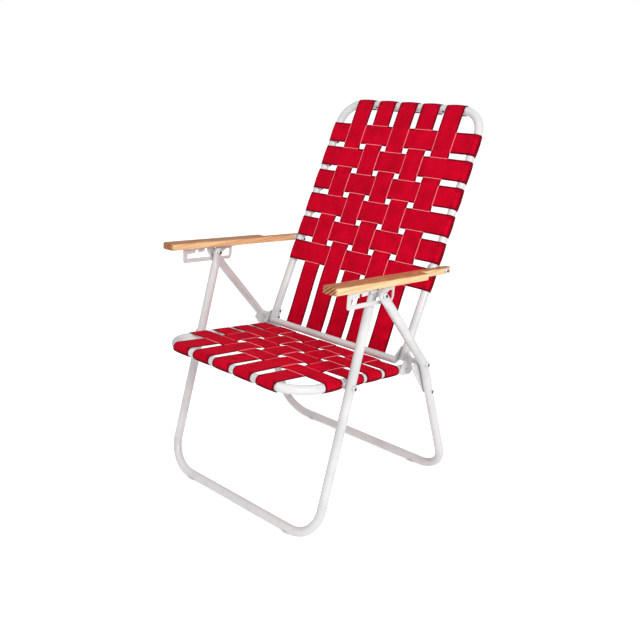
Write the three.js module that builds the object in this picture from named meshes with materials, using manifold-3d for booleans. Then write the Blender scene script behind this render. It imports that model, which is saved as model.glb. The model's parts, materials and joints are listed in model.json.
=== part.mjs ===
// Folding webbed lawn chair: painted tube frames, woven webbing, wooden arms on slotted brackets.
// Millimetres, +Z up. The chair faces -Y, and its origin is on the floor under the middle of its box.
import * as THREE from 'three';
import { mergeVertices } from 'three/addons/utils/BufferGeometryUtils.js';
import Module from 'manifold-3d';

const wasm = await Module();
wasm.setup();

// Frame tubes, and the gap that touching pieces keep
const TUBE_RADIUS = 11.1;
const TUBE_WALL = 1.3;
const FIT_GAP = 0.3;
const CUT_OVERRUN = 2;

// Seat width, from the middle plane to the tube axis, and how far each frame stands off its neighbour
const SEAT_HALF_WIDTH = 233.6;
const BACK_INSET = 0.8;
const FRONT_LEG_OFFSET = 31.5;
const REAR_LEG_OFFSET = 28.8;

// Side view: floor bars, the leg top pin and the main hinge
const FRONT_BAR_Y = -288;
const REAR_BAR_Y = 197;
const PIN_Y = -103.7;
const PIN_Z = 575.9;
const HINGE_Y = 72.7;
const HINGE_Z = 360.9;

// Seat frame
const SEAT_FRONT_Y = -318;
const SEAT_FRONT_Z = 387;
const SEAT_SLOPE = 8.2;
const SEAT_RAIL_LENGTH = 412;
const SEAT_CORNER_RADIUS = 78;

// Back frame, measured from the hinge up the tubes
const BACK_LEAN = 27.2;
const BACK_LENGTH = 658;
const BACK_CORNER_RADIUS = 65;
const BACK_TUBE_TAIL = 9;

// Leg frames
const LEG_CORNER_RADIUS = 78;
const LEG_TOP_RADIUS = 12.2;
const LEG_TOP_THICKNESS = 13.4;
const LEG_PRESS_LENGTH = 46;
const REAR_LEG_BEND_RADIUS = 60;

// Webbing
const WEB_WIDTH = 57.15;
const WEB_THICKNESS = 1.2;
const WEB_TAIL = 10;
const WEB_COLUMN_INSET = 84.6;
const WEB_COLUMN_SHARES = [-1, -0.49, 0, 0.49, 1];
const SEAT_ROW_FIRST = 113.5;
const SEAT_ROW_SECOND = 192;
const SEAT_ROW_PITCH = 69.5;
const BACK_ROW_FIRST = 93;
const BACK_ROW_PITCH = 72.2;
const BACK_ROWS = 6;
const SEAT_ROWS = 4;

// Rear bar of the seat, under the ends of its webbing
const SEAT_BAR_RADIUS = 6.35;
const SEAT_BAR_PLACE = 362;
const SEAT_BAR_INSET = 8;

// Lower bar of the back, in front of its webbing, with its two flat end tabs
const BACK_BAR_RADIUS = 9.5;
const BACK_BAR_DROP = 13;
const BACK_BAR_FORWARD = 14;
const BACK_TAB_THICKNESS = 3;
const BACK_TAB_HEIGHT = 27;
const BACK_TAB_NOSE = 8;
const BACK_TAB_RIVET_UP = 18;

// Hinge plates on the seat rails
const PLATE_THICKNESS = 3;
const PLATE_LOBE_RADIUS = 13.5;
const PLATE_RAIL_RADIUS = 11;
const PLATE_FRONT_PLACE = 373.4;
const PLATE_REAR_PLACE = 402;
const PLATE_RIVET_PLACE = 388;

// Bolts, pins and rivets
const BOLT_RADIUS = 4;
const BOLT_HEAD_RADIUS = 7.5;
const BOLT_HEAD_HEIGHT = 4.4;
const RIVET_RADIUS = 2.8;
const RIVET_HEAD_RADIUS = 5.2;
const RIVET_HEAD_HEIGHT = 2;
const SHOULDER_RADIUS = 8;
const SPACER_RADIUS = 7;
const BLIND_RIVET_DEPTH = 6;
const DOME_TOP_SHARE = 0.62;
const DOME_BRIM_SHARE = 1 / 3;

// Gusset straps inside the rear legs, wider in front of the hinge
const STRAP_WIDTH = 16;
const STRAP_FRONT_REACH = 22;
const STRAP_FRONT_DROP = 7;
const STRAP_THICKNESS = 2.6;
const STRAP_RIVET_DOWN = 86;

// Wooden arms
const ARM_PIVOT_UP = 238.5;
const ARM_TILT = 5.5;
const ARM_OFFSET = 8.8;
const ARM_WIDTH = 40;
const ARM_THICKNESS = 17;
const ARM_FRONT_REACH = 446;
const ARM_REAR_REACH = 22;
const ARM_CORNER_RADIUS = 5;
const ARM_EDGE_BEVEL = 2;
const ARM_RECESS_LENGTH = 133;
const ARM_RECESS_DEPTH = 22;

// Slotted brackets under the arms
const BRACKET_OFFSET = 13.2;
const BRACKET_THICKNESS = 2.5;
const BRACKET_HEIGHT = 40.5;
const BRACKET_AHEAD = 105;
const BRACKET_BEHIND = 60;
const BRACKET_CORNER_RADIUS = 7;
const BRACKET_CUT_CORNER = 12;
const FLANGE_WIDTH = 17;
const FLANGE_THICKNESS = 2;
const SLOT_AHEAD = 92;
const SLOT_BEHIND = 53;
const SLOT_CLEARANCE = 0.8;
const SLOT_SAG = 9;
const WINDOW_AHEAD = 7;
const WINDOW_SAG = 11;
const SLOT_DROP = 7;
const LOBE_AHEAD = 7;
const LOBE_BEHIND = 41;
const LOBE_DROP = 8.2;
const LOBE_TAPER = 4;
const LOBE_REAR_TAPER = 12;
const NOTCH_PITCH = 30.5;
const NOTCH_RISE = 7.5;
const NOTCHES = 3;

// Screws that hold the brackets in the wood
const SCREW_RADIUS = 1.8;
const SCREW_HEAD_RADIUS = 4;
const SCREW_LENGTH = 12;
const SCREW_END_INSET = 14;

// Glides under the floor bars
const GLIDE_SOLE = 1.3;
const GLIDE_WALL = 1.9;
const GLIDE_LENGTH = 15;
const FRONT_GLIDE_INSET = 87.1;
const REAR_GLIDE_INSET = 103.9;
const GLIDE_OPEN_SHARE = 0.82;

// Facet counts
const TUBE_SIDES = 12;
const BORE_SIDES = 6;
const BOLT_SIDES = 10;
const CORNER_STEPS = 6;
const WRAP_STEPS = 6;
const ROUND_STEPS = 4;
const LEG_TOP_ANGLES = [80, 52, 26, 0];

const SIDES = { left: -1, right: 1 };
const HALF_TURN = Math.PI;
const QUARTER_TURN = Math.PI / 2;
const radians = THREE.MathUtils.degToRad;
const point2 = (x, y) => new THREE.Vector2(x, y);
const point3 = (x, y, z) => new THREE.Vector3(x, y, z);
const ALONG_X = point3(1, 0, 0);

// Places worked out from the sizes above
const backHalfWidth = SEAT_HALF_WIDTH - BACK_INSET;
const frontLegHalfWidth = SEAT_HALF_WIDTH + FRONT_LEG_OFFSET;
const rearLegHalfWidth = frontLegHalfWidth + REAR_LEG_OFFSET;
const armCentre = frontLegHalfWidth + ARM_OFFSET;
const bracketInnerX = frontLegHalfWidth + BRACKET_OFFSET;
const floorBarZ = GLIDE_SOLE + FIT_GAP + TUBE_RADIUS;
const seatRun = point2(Math.cos(radians(SEAT_SLOPE)), -Math.sin(radians(SEAT_SLOPE)));
const backRun = point2(Math.sin(radians(BACK_LEAN)), Math.cos(radians(BACK_LEAN)));
const hinge = point2(HINGE_Y, HINGE_Z);
const legTop = point2(PIN_Y, PIN_Z);
const frontFoot = point2(FRONT_BAR_Y, floorBarZ);
const rearFoot = point2(REAR_BAR_Y, floorBarZ);
const seatFront = point2(SEAT_FRONT_Y, SEAT_FRONT_Z);
const armPivot = hinge.clone().addScaledVector(backRun, ARM_PIVOT_UP);
const frontLegRun = legTop.clone().sub(frontFoot).normalize();
const seatPivotPlace = seatFront.clone().sub(frontFoot).cross(frontLegRun) / frontLegRun.cross(seatRun);
const seatPivot = seatFront.clone().addScaledVector(seatRun, seatPivotPlace);
const hingeOnSeat = hinge.clone().sub(seatFront);
const hingePlace = hingeOnSeat.dot(seatRun);
const hingeRise = seatRun.cross(hingeOnSeat);
const wrapRadius = TUBE_RADIUS + FIT_GAP + WEB_THICKNESS / 2;
const weaveRise = (WEB_THICKNESS + FIT_GAP) / 2;
const webColumns = WEB_COLUMN_SHARES.map((share) => share * (SEAT_HALF_WIDTH - WEB_COLUMN_INSET));
const seatRows = Array.from({ length: SEAT_ROWS }, (_, row) =>
  row === 0 ? SEAT_ROW_FIRST : SEAT_ROW_SECOND + (row - 1) * SEAT_ROW_PITCH);
const backRows = Array.from({ length: BACK_ROWS }, (_, row) =>
  BACK_LENGTH - BACK_ROW_FIRST - row * BACK_ROW_PITCH);
const seatBarWrap = SEAT_BAR_RADIUS + FIT_GAP + WEB_THICKNESS / 2;
const seatBarRise = wrapRadius - weaveRise - seatBarWrap;
const plateInnerX = SEAT_HALF_WIDTH + TUBE_RADIUS + FIT_GAP;
const plateOuterX = plateInnerX + PLATE_THICKNESS;
const webOuterX = SEAT_HALF_WIDTH + wrapRadius + WEB_THICKNESS / 2 + FIT_GAP;
const strapOuterX = rearLegHalfWidth - TUBE_RADIUS - FIT_GAP;
const strapInnerX = strapOuterX - STRAP_THICKNESS;
const boltHole = BOLT_RADIUS + FIT_GAP;
const rivetHole = RIVET_RADIUS + FIT_GAP;

// Finishes
const FINISHES = {
  paint: new THREE.MeshStandardMaterial({ name: 'white_paint', color: 0xefefec, roughness: 0.35, metalness: 0.1 }),
  webbing: new THREE.MeshStandardMaterial({ name: 'webbing', color: 0xc4102a, roughness: 0.7, metalness: 0 }),
  wood: new THREE.MeshStandardMaterial({ name: 'wood', color: 0xd39a55, roughness: 0.5, metalness: 0 }),
  steel: new THREE.MeshStandardMaterial({ name: 'steel', color: 0x8a8a8c, roughness: 0.4, metalness: 0.9 }),
  glide: new THREE.MeshStandardMaterial({ name: 'glide', color: 0xd8d8d2, roughness: 0.4, metalness: 0 }),
};

// A path through stations, each with its own share of the section's two sizes
class StationPath extends THREE.Curve {
  constructor(stations, firstNormal, shares = []) {
    super();
    this.stations = stations;
    this.firstNormal = firstNormal;
    this.shares = shares;
  }

  getSpacedPoints() {
    return this.stations;
  }

  computeFrenetFrames() {
    const last = this.stations.length - 1;
    const tangents = this.stations.map((_, i) =>
      this.stations[Math.min(i + 1, last)].clone().sub(this.stations[Math.max(i - 1, 0)]).normalize());
    const turn = new THREE.Quaternion();
    const carried = this.firstNormal.clone();
    const normals = tangents.map((tangent, i) => {
      if (i > 0) carried.applyQuaternion(turn.setFromUnitVectors(tangents[i - 1], tangent));
      return carried.clone();
    });
    const binormals = tangents.map((tangent, i) => tangent.clone().cross(normals[i]).normalize());
    this.shares.forEach((share, i) => {
      if (!share) return;
      normals[i].multiplyScalar(share.x);
      binormals[i].multiplyScalar(share.y);
    });
    return { tangents, normals, binormals };
  }
}

function ringOf(radius, sides) {
  return Array.from({ length: sides }, (_, i) => {
    const angle = (i / sides) * 2 * HALF_TURN;
    return point2(radius * Math.cos(angle), radius * Math.sin(angle));
  });
}

function sweep(section, path) {
  return new THREE.ExtrudeGeometry(section, {
    steps: path.stations.length - 1, bevelEnabled: false, extrudePath: path });
}

// A hollow tube through stations, open at both ends
function tube(stations, firstNormal, shares, radius = TUBE_RADIUS) {
  const section = new THREE.Shape(ringOf(radius, TUBE_SIDES));
  section.holes.push(new THREE.Path(ringOf(radius - TUBE_WALL, BORE_SIDES)));
  return sweep(section, new StationPath(stations, firstNormal, shares));
}

// Stations of an arc between two directions from a centre
function arcStations(centre, fromSide, toSide, radius, angle, steps) {
  return Array.from({ length: steps + 1 }, (_, i) => {
    const turned = (angle * i) / steps;
    return centre.clone()
      .addScaledVector(fromSide, radius * Math.cos(turned))
      .addScaledVector(toSide, radius * Math.sin(turned));
  });
}

// The stations of a bend that rounds one corner of a bent tube
function bend(before, corner, after, radius, steps) {
  const into = corner.clone().sub(before).normalize();
  const out = after.clone().sub(corner).normalize();
  const angle = into.angleTo(out);
  const side = out.clone().addScaledVector(into, -into.dot(out)).normalize();
  const start = corner.clone().addScaledVector(into, -radius * Math.tan(angle / 2));
  const centre = start.clone().addScaledVector(side, radius);
  return arcStations(centre, side.clone().negate(), into, radius, angle, steps);
}

// One U-shaped tube: down one side, across, and up the other, mirrored left to right
function frameStations(halfWidth, endStations, cornerPoint, radius) {
  const lastOfEnd = endStations[endStations.length - 1];
  const corner = bend(lastOfEnd, cornerPoint, cornerPoint.clone().setX(-halfWidth), radius, CORNER_STEPS);
  const half = [...endStations, ...corner];
  const mirrored = half.map((station) => station.clone().setX(-station.x)).reverse();
  return [...half, ...mirrored];
}

// Shares and stations of a leg's pressed and rounded top, from its tip down to the round tube
function pressedTop(pin, upwards, halfWidth) {
  const flat = LEG_TOP_THICKNESS / (2 * TUBE_RADIUS);
  const wide = LEG_TOP_RADIUS / TUBE_RADIUS;
  const at = (distance) => point3(halfWidth, 0, 0).addScaledVector(upwards, distance).add(pin);
  const tips = LEG_TOP_ANGLES.map((degrees) => ({
    station: at(LEG_TOP_RADIUS * Math.sin(radians(degrees))),
    share: point2(flat, wide * Math.cos(radians(degrees))) }));
  const heel = { station: at(-LEG_TOP_RADIUS), share: point2(flat, wide) };
  const waistShare = point2((1 + flat) / 2, (1 + wide) / 2);
  const waist = { station: at(-(LEG_TOP_RADIUS + LEG_PRESS_LENGTH) / 2), share: waistShare };
  const full = { station: at(-LEG_PRESS_LENGTH), share: point2(1, 1) };
  return [...tips, heel, waist, full];
}

function toSolid(geometry) {
  const bare = geometry.index ? geometry.toNonIndexed() : geometry.clone();
  bare.deleteAttribute('normal');
  bare.deleteAttribute('uv');
  const merged = mergeVertices(bare);
  return new wasm.Manifold(new wasm.Mesh({
    numProp: 3, vertProperties: merged.attributes.position.array, triVerts: merged.index.array }));
}

function toGeometry(solid) {
  const mesh = solid.getMesh();
  const geometry = new THREE.BufferGeometry();
  geometry.setAttribute('position', new THREE.BufferAttribute(mesh.vertProperties, 3));
  geometry.setIndex(new THREE.BufferAttribute(mesh.triVerts, 1));
  return geometry;
}

function cut(geometry, cutters) {
  return toGeometry(cutters.reduce((solid, cutter) => solid.subtract(toSolid(cutter)), toSolid(geometry)));
}

function join(geometries) {
  return toGeometry(geometries.map(toSolid).reduce((whole, solid) => whole.add(solid)));
}

// A round bar along X between two places
function crossBar(radius, fromX, toX, y, z, sides = BOLT_SIDES) {
  const bar = new THREE.CylinderGeometry(radius, radius, Math.abs(toX - fromX), sides);
  return bar.rotateZ(QUARTER_TURN).translate((fromX + toX) / 2, y, z);
}

// A turned piece along X on the right-hand side, from pairs of radius and place
function turned(steps) {
  const first = steps[0][1];
  const last = steps[steps.length - 1][1];
  const profile = [point2(0, first), ...steps.map(([radius, x]) => point2(radius, x)), point2(0, last)];
  return new THREE.LatheGeometry(profile, BOLT_SIDES).rotateZ(-QUARTER_TURN);
}

// A sheet piece: an outline in the YZ plane, between two places along X on one side of the chair
function sheetPiece(outline, innerX, outerX, side) {
  const turnedUp = new THREE.Matrix4().makeBasis(point3(0, 1, 0), point3(0, 0, 1), ALONG_X);
  const sheet = new THREE.ExtrudeGeometry(outline, { depth: outerX - innerX, bevelEnabled: false });
  return sheet.applyMatrix4(turnedUp).translate(side > 0 ? innerX : -outerX, 0, 0);
}

// The outline round a ring of circles that are given counterclockwise as [centre, radius]
function beltOutline(circles) {
  const points = [];
  circles.forEach(([centre, radius], i) => {
    const [before, radiusBefore] = circles[(i + circles.length - 1) % circles.length];
    const [after, radiusAfter] = circles[(i + 1) % circles.length];
    const start = tangentAngle(before, radiusBefore, centre, radius);
    let end = tangentAngle(centre, radius, after, radiusAfter);
    while (end < start) end += 2 * HALF_TURN;
    for (let step = 0; step <= ROUND_STEPS; step += 1) {
      const angle = start + ((end - start) * step) / ROUND_STEPS;
      points.push(point2(centre.x + radius * Math.cos(angle), centre.y + radius * Math.sin(angle)));
    }
  });
  return new THREE.Shape(points);
}

function tangentAngle(from, fromRadius, to, toRadius) {
  const gap = to.clone().sub(from);
  return gap.angle() - Math.acos((fromRadius - toRadius) / gap.length());
}

function roundHole(centre, radius) {
  return new THREE.Path(ringOf(radius, BOLT_SIDES).map((corner) => corner.add(centre)));
}

const chair = new THREE.Group();
const seatGroup = new THREE.Group();
const backGroup = new THREE.Group();
const armGroup = new THREE.Group();
seatGroup.position.set(0, seatFront.x, seatFront.y);
seatGroup.rotation.x = -radians(SEAT_SLOPE);
backGroup.position.set(0, hinge.x, hinge.y);
backGroup.rotation.x = -radians(BACK_LEAN);
armGroup.position.set(0, armPivot.x, armPivot.y);
armGroup.rotation.x = -radians(ARM_TILT);
chair.add(seatGroup, backGroup, armGroup);

function place(group, name, geometry, finish) {
  const mesh = new THREE.Mesh(geometry, FINISHES[finish]);
  mesh.name = name;
  group.add(mesh);
  return mesh;
}

// The same turned piece on both sides; it is round, so half a turn mirrors it
function placePair(group, name, steps, finish, y, z) {
  for (const [word, side] of Object.entries(SIDES)) {
    const mesh = place(group, `${name}_${word}`, turned(steps), finish);
    mesh.position.set(0, y, z);
    if (side < 0) mesh.rotation.z = HALF_TURN;
  }
}

// A domed head's steps, growing away from the face that it lies on
function domedHead(faceX, direction, radius = BOLT_HEAD_RADIUS, height = BOLT_HEAD_HEIGHT) {
  const top = faceX + direction * height;
  const brim = faceX + direction * height * DOME_BRIM_SHARE;
  const rising = [[radius, faceX], [radius, brim], [radius * DOME_TOP_SHARE, top]];
  return direction > 0 ? rising : rising.reverse();
}

// Weaving: a strip's height at each crossing, as stations along its length
function weaveStations(crossings, liftOf, along, plane) {
  const reach = WEB_WIDTH / 2 + FIT_GAP;
  return crossings.flatMap((crossing, i) => {
    const lift = plane + liftOf(i);
    return [along(crossing - reach, lift), along(crossing + reach, lift)];
  });
}

// A wrap of half a turn round a bar, then a straight tail back along its far side
function wrapEnd(at, centreAt, centreHeight, radius, outward) {
  const stations = [];
  for (let step = 0; step <= WRAP_STEPS; step += 1) {
    const angle = (step / WRAP_STEPS) * HALF_TURN;
    stations.push(at(centreAt + outward * radius * Math.sin(angle), centreHeight + radius * Math.cos(angle)));
  }
  stations.push(at(centreAt - outward * WEB_TAIL, centreHeight - radius));
  return stations;
}

function strip(stations, widthAxis) {
  const section = new THREE.Shape([
    point2(-WEB_WIDTH / 2, -WEB_THICKNESS / 2), point2(WEB_WIDTH / 2, -WEB_THICKNESS / 2),
    point2(WEB_WIDTH / 2, WEB_THICKNESS / 2), point2(-WEB_WIDTH / 2, WEB_THICKNESS / 2)]);
  return sweep(section, new StationPath(stations, widthAxis));
}

// True where the web that runs the long way passes over the one that runs across
const seatColumnOver = (column, row) => (column + row) % 2 === 1;
const backColumnOver = (column, row) => (column + row) % 2 === 0;

function addSeatFrame() {
  const railEnd = point3(SEAT_HALF_WIDTH, SEAT_RAIL_LENGTH, 0);
  const rail = frameStations(SEAT_HALF_WIDTH, [railEnd], point3(SEAT_HALF_WIDTH, 0, 0), SEAT_CORNER_RADIUS);
  const across = SEAT_HALF_WIDTH + TUBE_RADIUS + CUT_OVERRUN;
  const rivetHoles = Object.values(SIDES).map((side) =>
    crossBar(rivetHole, side * SEAT_HALF_WIDTH, side * across, PLATE_RIVET_PLACE, 0));
  const barEnd = SEAT_HALF_WIDTH - TUBE_RADIUS + SEAT_BAR_INSET;
  const holes = [
    crossBar(boltHole, -across, across, seatPivotPlace, 0),
    ...rivetHoles,
    crossBar(SEAT_BAR_RADIUS + FIT_GAP, -barEnd - FIT_GAP, barEnd + FIT_GAP, SEAT_BAR_PLACE, seatBarRise,
      TUBE_SIDES),
  ];
  place(seatGroup, 'seat_frame_tube', cut(tube(rail, point3(1, 0, 0)), holes), 'paint');
  const bar = crossBar(SEAT_BAR_RADIUS, -barEnd, barEnd, SEAT_BAR_PLACE, seatBarRise, TUBE_SIDES);
  place(seatGroup, 'seat_rear_bar', bar, 'paint');
}

function addSeatWebs() {
  webColumns.forEach((x, column) => {
    const lift = (row) => (seatColumnOver(column, row) ? weaveRise : -weaveRise);
    const at = (y, z) => point3(x, y, z);
    const rearHeight = wrapRadius + lift(SEAT_ROWS - 1);
    const front = wrapEnd(at, 0, 0, wrapRadius, -1).reverse();
    const rear = wrapEnd(at, SEAT_BAR_PLACE, seatBarRise, rearHeight - seatBarRise, 1);
    const stations = [...front, ...weaveStations(seatRows, lift, at, wrapRadius), ...rear];
    place(seatGroup, `seat_web_long_${column + 1}`, strip(stations, ALONG_X), 'webbing');
  });
  seatRows.forEach((y, row) => {
    const lift = (column) => (seatColumnOver(column, row) ? -weaveRise : weaveRise);
    const at = (x, z) => point3(x, y, z);
    const stations = [
      ...wrapEnd(at, -SEAT_HALF_WIDTH, 0, wrapRadius, -1).reverse(),
      ...weaveStations(webColumns, lift, at, wrapRadius),
      ...wrapEnd(at, SEAT_HALF_WIDTH, 0, wrapRadius, 1)];
    place(seatGroup, `seat_web_cross_${row + 1}`, strip(stations, point3(0, 1, 0)), 'webbing');
  });
}

function addHingePlates() {
  const lobe = point2(hingePlace, hingeRise);
  for (const [word, side] of Object.entries(SIDES)) {
    const outline = beltOutline([
      [point2(PLATE_FRONT_PLACE, 0), PLATE_RAIL_RADIUS],
      [point2(PLATE_REAR_PLACE, 0), PLATE_RAIL_RADIUS],
      [lobe, PLATE_LOBE_RADIUS]]);
    outline.holes.push(roundHole(lobe, boltHole), roundHole(point2(PLATE_RIVET_PLACE, 0), rivetHole));
    place(seatGroup, `hinge_plate_${word}`, sheetPiece(outline, plateInnerX, plateOuterX, side), 'paint');
  }
  placePair(seatGroup, 'hinge_plate_rivet', [
    [RIVET_RADIUS, plateInnerX - BLIND_RIVET_DEPTH], [RIVET_RADIUS, plateOuterX + FIT_GAP],
    ...domedHead(plateOuterX + FIT_GAP, 1, RIVET_HEAD_RADIUS, RIVET_HEAD_HEIGHT)], 'steel',
  PLATE_RIVET_PLACE, 0);
}

function addHingeHardware() {
  const inner = backHalfWidth - TUBE_RADIUS - BACK_TAB_THICKNESS - 2 * FIT_GAP;
  const outer = rearLegHalfWidth + TUBE_RADIUS + FIT_GAP;
  placePair(chair, 'hinge_bolt', [
    ...domedHead(inner, -1), [BOLT_RADIUS, inner], [BOLT_RADIUS, outer], ...domedHead(outer, 1)], 'steel',
  hinge.x, hinge.y);
  for (const [word, side] of Object.entries(SIDES)) {
    const sleeve = new THREE.Shape(ringOf(SPACER_RADIUS, TUBE_SIDES));
    sleeve.holes.push(roundHole(point2(0, 0), boltHole));
    const spacer = sheetPiece(sleeve, plateOuterX + FIT_GAP, strapInnerX - FIT_GAP, side);
    place(chair, `hinge_spacer_${word}`, spacer.translate(0, hinge.x, hinge.y), 'paint');
  }
}

function addSeatPivots() {
  const inner = SEAT_HALF_WIDTH - TUBE_RADIUS - FIT_GAP;
  const legInner = frontLegHalfWidth - TUBE_RADIUS - FIT_GAP;
  const legOuter = frontLegHalfWidth + TUBE_RADIUS + FIT_GAP;
  placePair(chair, 'seat_pivot_bolt', [
    ...domedHead(inner, -1), [BOLT_RADIUS, inner], [BOLT_RADIUS, webOuterX],
    [SHOULDER_RADIUS, webOuterX], [SHOULDER_RADIUS, legInner],
    [BOLT_RADIUS, legInner], [BOLT_RADIUS, legOuter], ...domedHead(legOuter, 1)], 'steel',
  seatPivot.x, seatPivot.y);
}

function addFrontLegs() {
  const upwards = point3(0, frontLegRun.x, frontLegRun.y);
  const ends = pressedTop(point3(0, legTop.x, legTop.y), upwards, frontLegHalfWidth);
  addLegFrame('front_leg_tube', ends, [], frontLegHalfWidth, frontFoot, [
    [seatPivot, boltHole], [legTop, boltHole]]);
}

function addRearLegs() {
  const upper = legTop.clone().sub(hinge).normalize();
  const lower = rearFoot.clone().sub(hinge).normalize();
  const upwards = point3(0, upper.x, upper.y);
  const ends = pressedTop(point3(0, legTop.x, legTop.y), upwards, rearLegHalfWidth);
  const x = rearLegHalfWidth;
  const knee = bend(ends[ends.length - 1].station, point3(x, hinge.x, hinge.y),
    point3(x, rearFoot.x, rearFoot.y), REAR_LEG_BEND_RADIUS, ROUND_STEPS);
  const rivetPlace = hinge.clone().addScaledVector(lower, STRAP_RIVET_DOWN);
  addLegFrame('rear_leg_tube', ends, knee, rearLegHalfWidth, rearFoot, [
    [hinge, boltHole], [legTop, boltHole], [rivetPlace, rivetHole]]);
  addStraps(rivetPlace);
  const legInner = rearLegHalfWidth - LEG_TOP_THICKNESS / 2 + FIT_GAP;
  const legOuter = rearLegHalfWidth + LEG_TOP_THICKNESS / 2 + FIT_GAP;
  placePair(chair, 'rear_leg_top_rivet', [
    [BOLT_RADIUS, legInner], [BOLT_RADIUS, legOuter], ...domedHead(legOuter, 1)], 'steel',
  legTop.x, legTop.y);
}

function addLegFrame(name, ends, knee, halfWidth, foot, holePlaces) {
  const shares = ends.map((end) => end.share);
  const stations = frameStations(halfWidth, [...ends.map((end) => end.station), ...knee],
    point3(halfWidth, foot.x, foot.y), LEG_CORNER_RADIUS);
  shares.forEach((share, i) => { shares[stations.length - 1 - i] = share; });
  const across = halfWidth + TUBE_RADIUS + CUT_OVERRUN;
  const holes = holePlaces.map(([centre, radius]) => crossBar(radius, -across, across, centre.x, centre.y));
  place(chair, name, cut(tube(stations, ALONG_X, shares), holes), 'paint');
}

function addStraps(rivetPlace) {
  for (const [word, side] of Object.entries(SIDES)) {
    const outline = beltOutline([
      [hinge, STRAP_WIDTH / 2],
      [point2(hinge.x - STRAP_FRONT_REACH, hinge.y - STRAP_FRONT_DROP), STRAP_WIDTH / 2],
      [rivetPlace, STRAP_WIDTH / 2]]);
    outline.holes.push(roundHole(hinge, boltHole), roundHole(rivetPlace, rivetHole));
    place(chair, `rear_leg_strap_${word}`, sheetPiece(outline, strapInnerX, strapOuterX, side), 'steel');
  }
  const inner = strapInnerX - FIT_GAP;
  const outer = rearLegHalfWidth + TUBE_RADIUS + FIT_GAP;
  placePair(chair, 'rear_leg_strap_rivet', [
    ...domedHead(inner, -1, RIVET_HEAD_RADIUS, RIVET_HEAD_HEIGHT), [RIVET_RADIUS, inner],
    [RIVET_RADIUS, outer], ...domedHead(outer, 1, RIVET_HEAD_RADIUS, RIVET_HEAD_HEIGHT)], 'steel',
  rivetPlace.x, rivetPlace.y);
}

function addLockingPins() {
  const legInner = frontLegHalfWidth - LEG_TOP_THICKNESS / 2 - FIT_GAP;
  const legOuter = frontLegHalfWidth + LEG_TOP_THICKNESS / 2 + FIT_GAP;
  const rearLegInner = rearLegHalfWidth - LEG_TOP_THICKNESS / 2 - FIT_GAP;
  placePair(chair, 'locking_pin', [
    ...domedHead(legInner, -1), [BOLT_RADIUS, legInner], [BOLT_RADIUS, legOuter],
    [SHOULDER_RADIUS, legOuter], [SHOULDER_RADIUS, bracketInnerX - FIT_GAP],
    [BOLT_RADIUS, bracketInnerX - FIT_GAP], [BOLT_RADIUS, rearLegInner]], 'steel', legTop.x, legTop.y);
}

// A glide clips under a floor bar and stands flat on the floor
function addGlides() {
  const inner = TUBE_RADIUS + FIT_GAP;
  const outer = inner + GLIDE_WALL;
  const soleAngle = Math.acos(floorBarZ / outer);
  const openAngle = QUARTER_TURN * GLIDE_OPEN_SHARE;
  const onRound = (radius, angle) => point2(radius * Math.sin(angle), -radius * Math.cos(angle));
  const spread = Array.from({ length: ROUND_STEPS + 1 }, (_, i) => i / ROUND_STEPS);
  const section = new THREE.Shape([
    ...spread.map((share) => onRound(outer, soleAngle + (openAngle - soleAngle) * share)),
    ...spread.concat(spread.slice(1).map((share) => 1 + share))
      .map((share) => onRound(inner / Math.cos(openAngle / (2 * ROUND_STEPS)), openAngle * (1 - share))),
    ...spread.map((share) => onRound(outer, -openAngle + (openAngle - soleAngle) * share))]);
  const feet = {
    front: [frontLegHalfWidth - FRONT_GLIDE_INSET, frontFoot],
    rear: [rearLegHalfWidth - REAR_GLIDE_INSET, rearFoot],
  };
  for (const [end, [x, foot]] of Object.entries(feet)) {
    for (const [word, side] of Object.entries(SIDES)) {
      const glide = sheetPiece(section, x - GLIDE_LENGTH / 2, x + GLIDE_LENGTH / 2, side);
      place(chair, `${end}_glide_${word}`, glide.translate(0, foot.x, foot.y), 'glide');
    }
  }
}

function addBackFrame() {
  const tubeEnd = point3(backHalfWidth, 0, -BACK_TUBE_TAIL);
  const stations = frameStations(backHalfWidth, [tubeEnd], point3(backHalfWidth, 0, BACK_LENGTH),
    BACK_CORNER_RADIUS);
  const across = backHalfWidth + TUBE_RADIUS + CUT_OVERRUN;
  const holes = [
    crossBar(boltHole, -across, across, 0, 0),
    crossBar(boltHole, -across, across, 0, ARM_PIVOT_UP),
    crossBar(rivetHole, -backHalfWidth, backHalfWidth, 0, BACK_TAB_RIVET_UP),
  ];
  place(backGroup, 'back_frame_tube', cut(tube(stations, ALONG_X), holes), 'paint');
}

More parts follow.
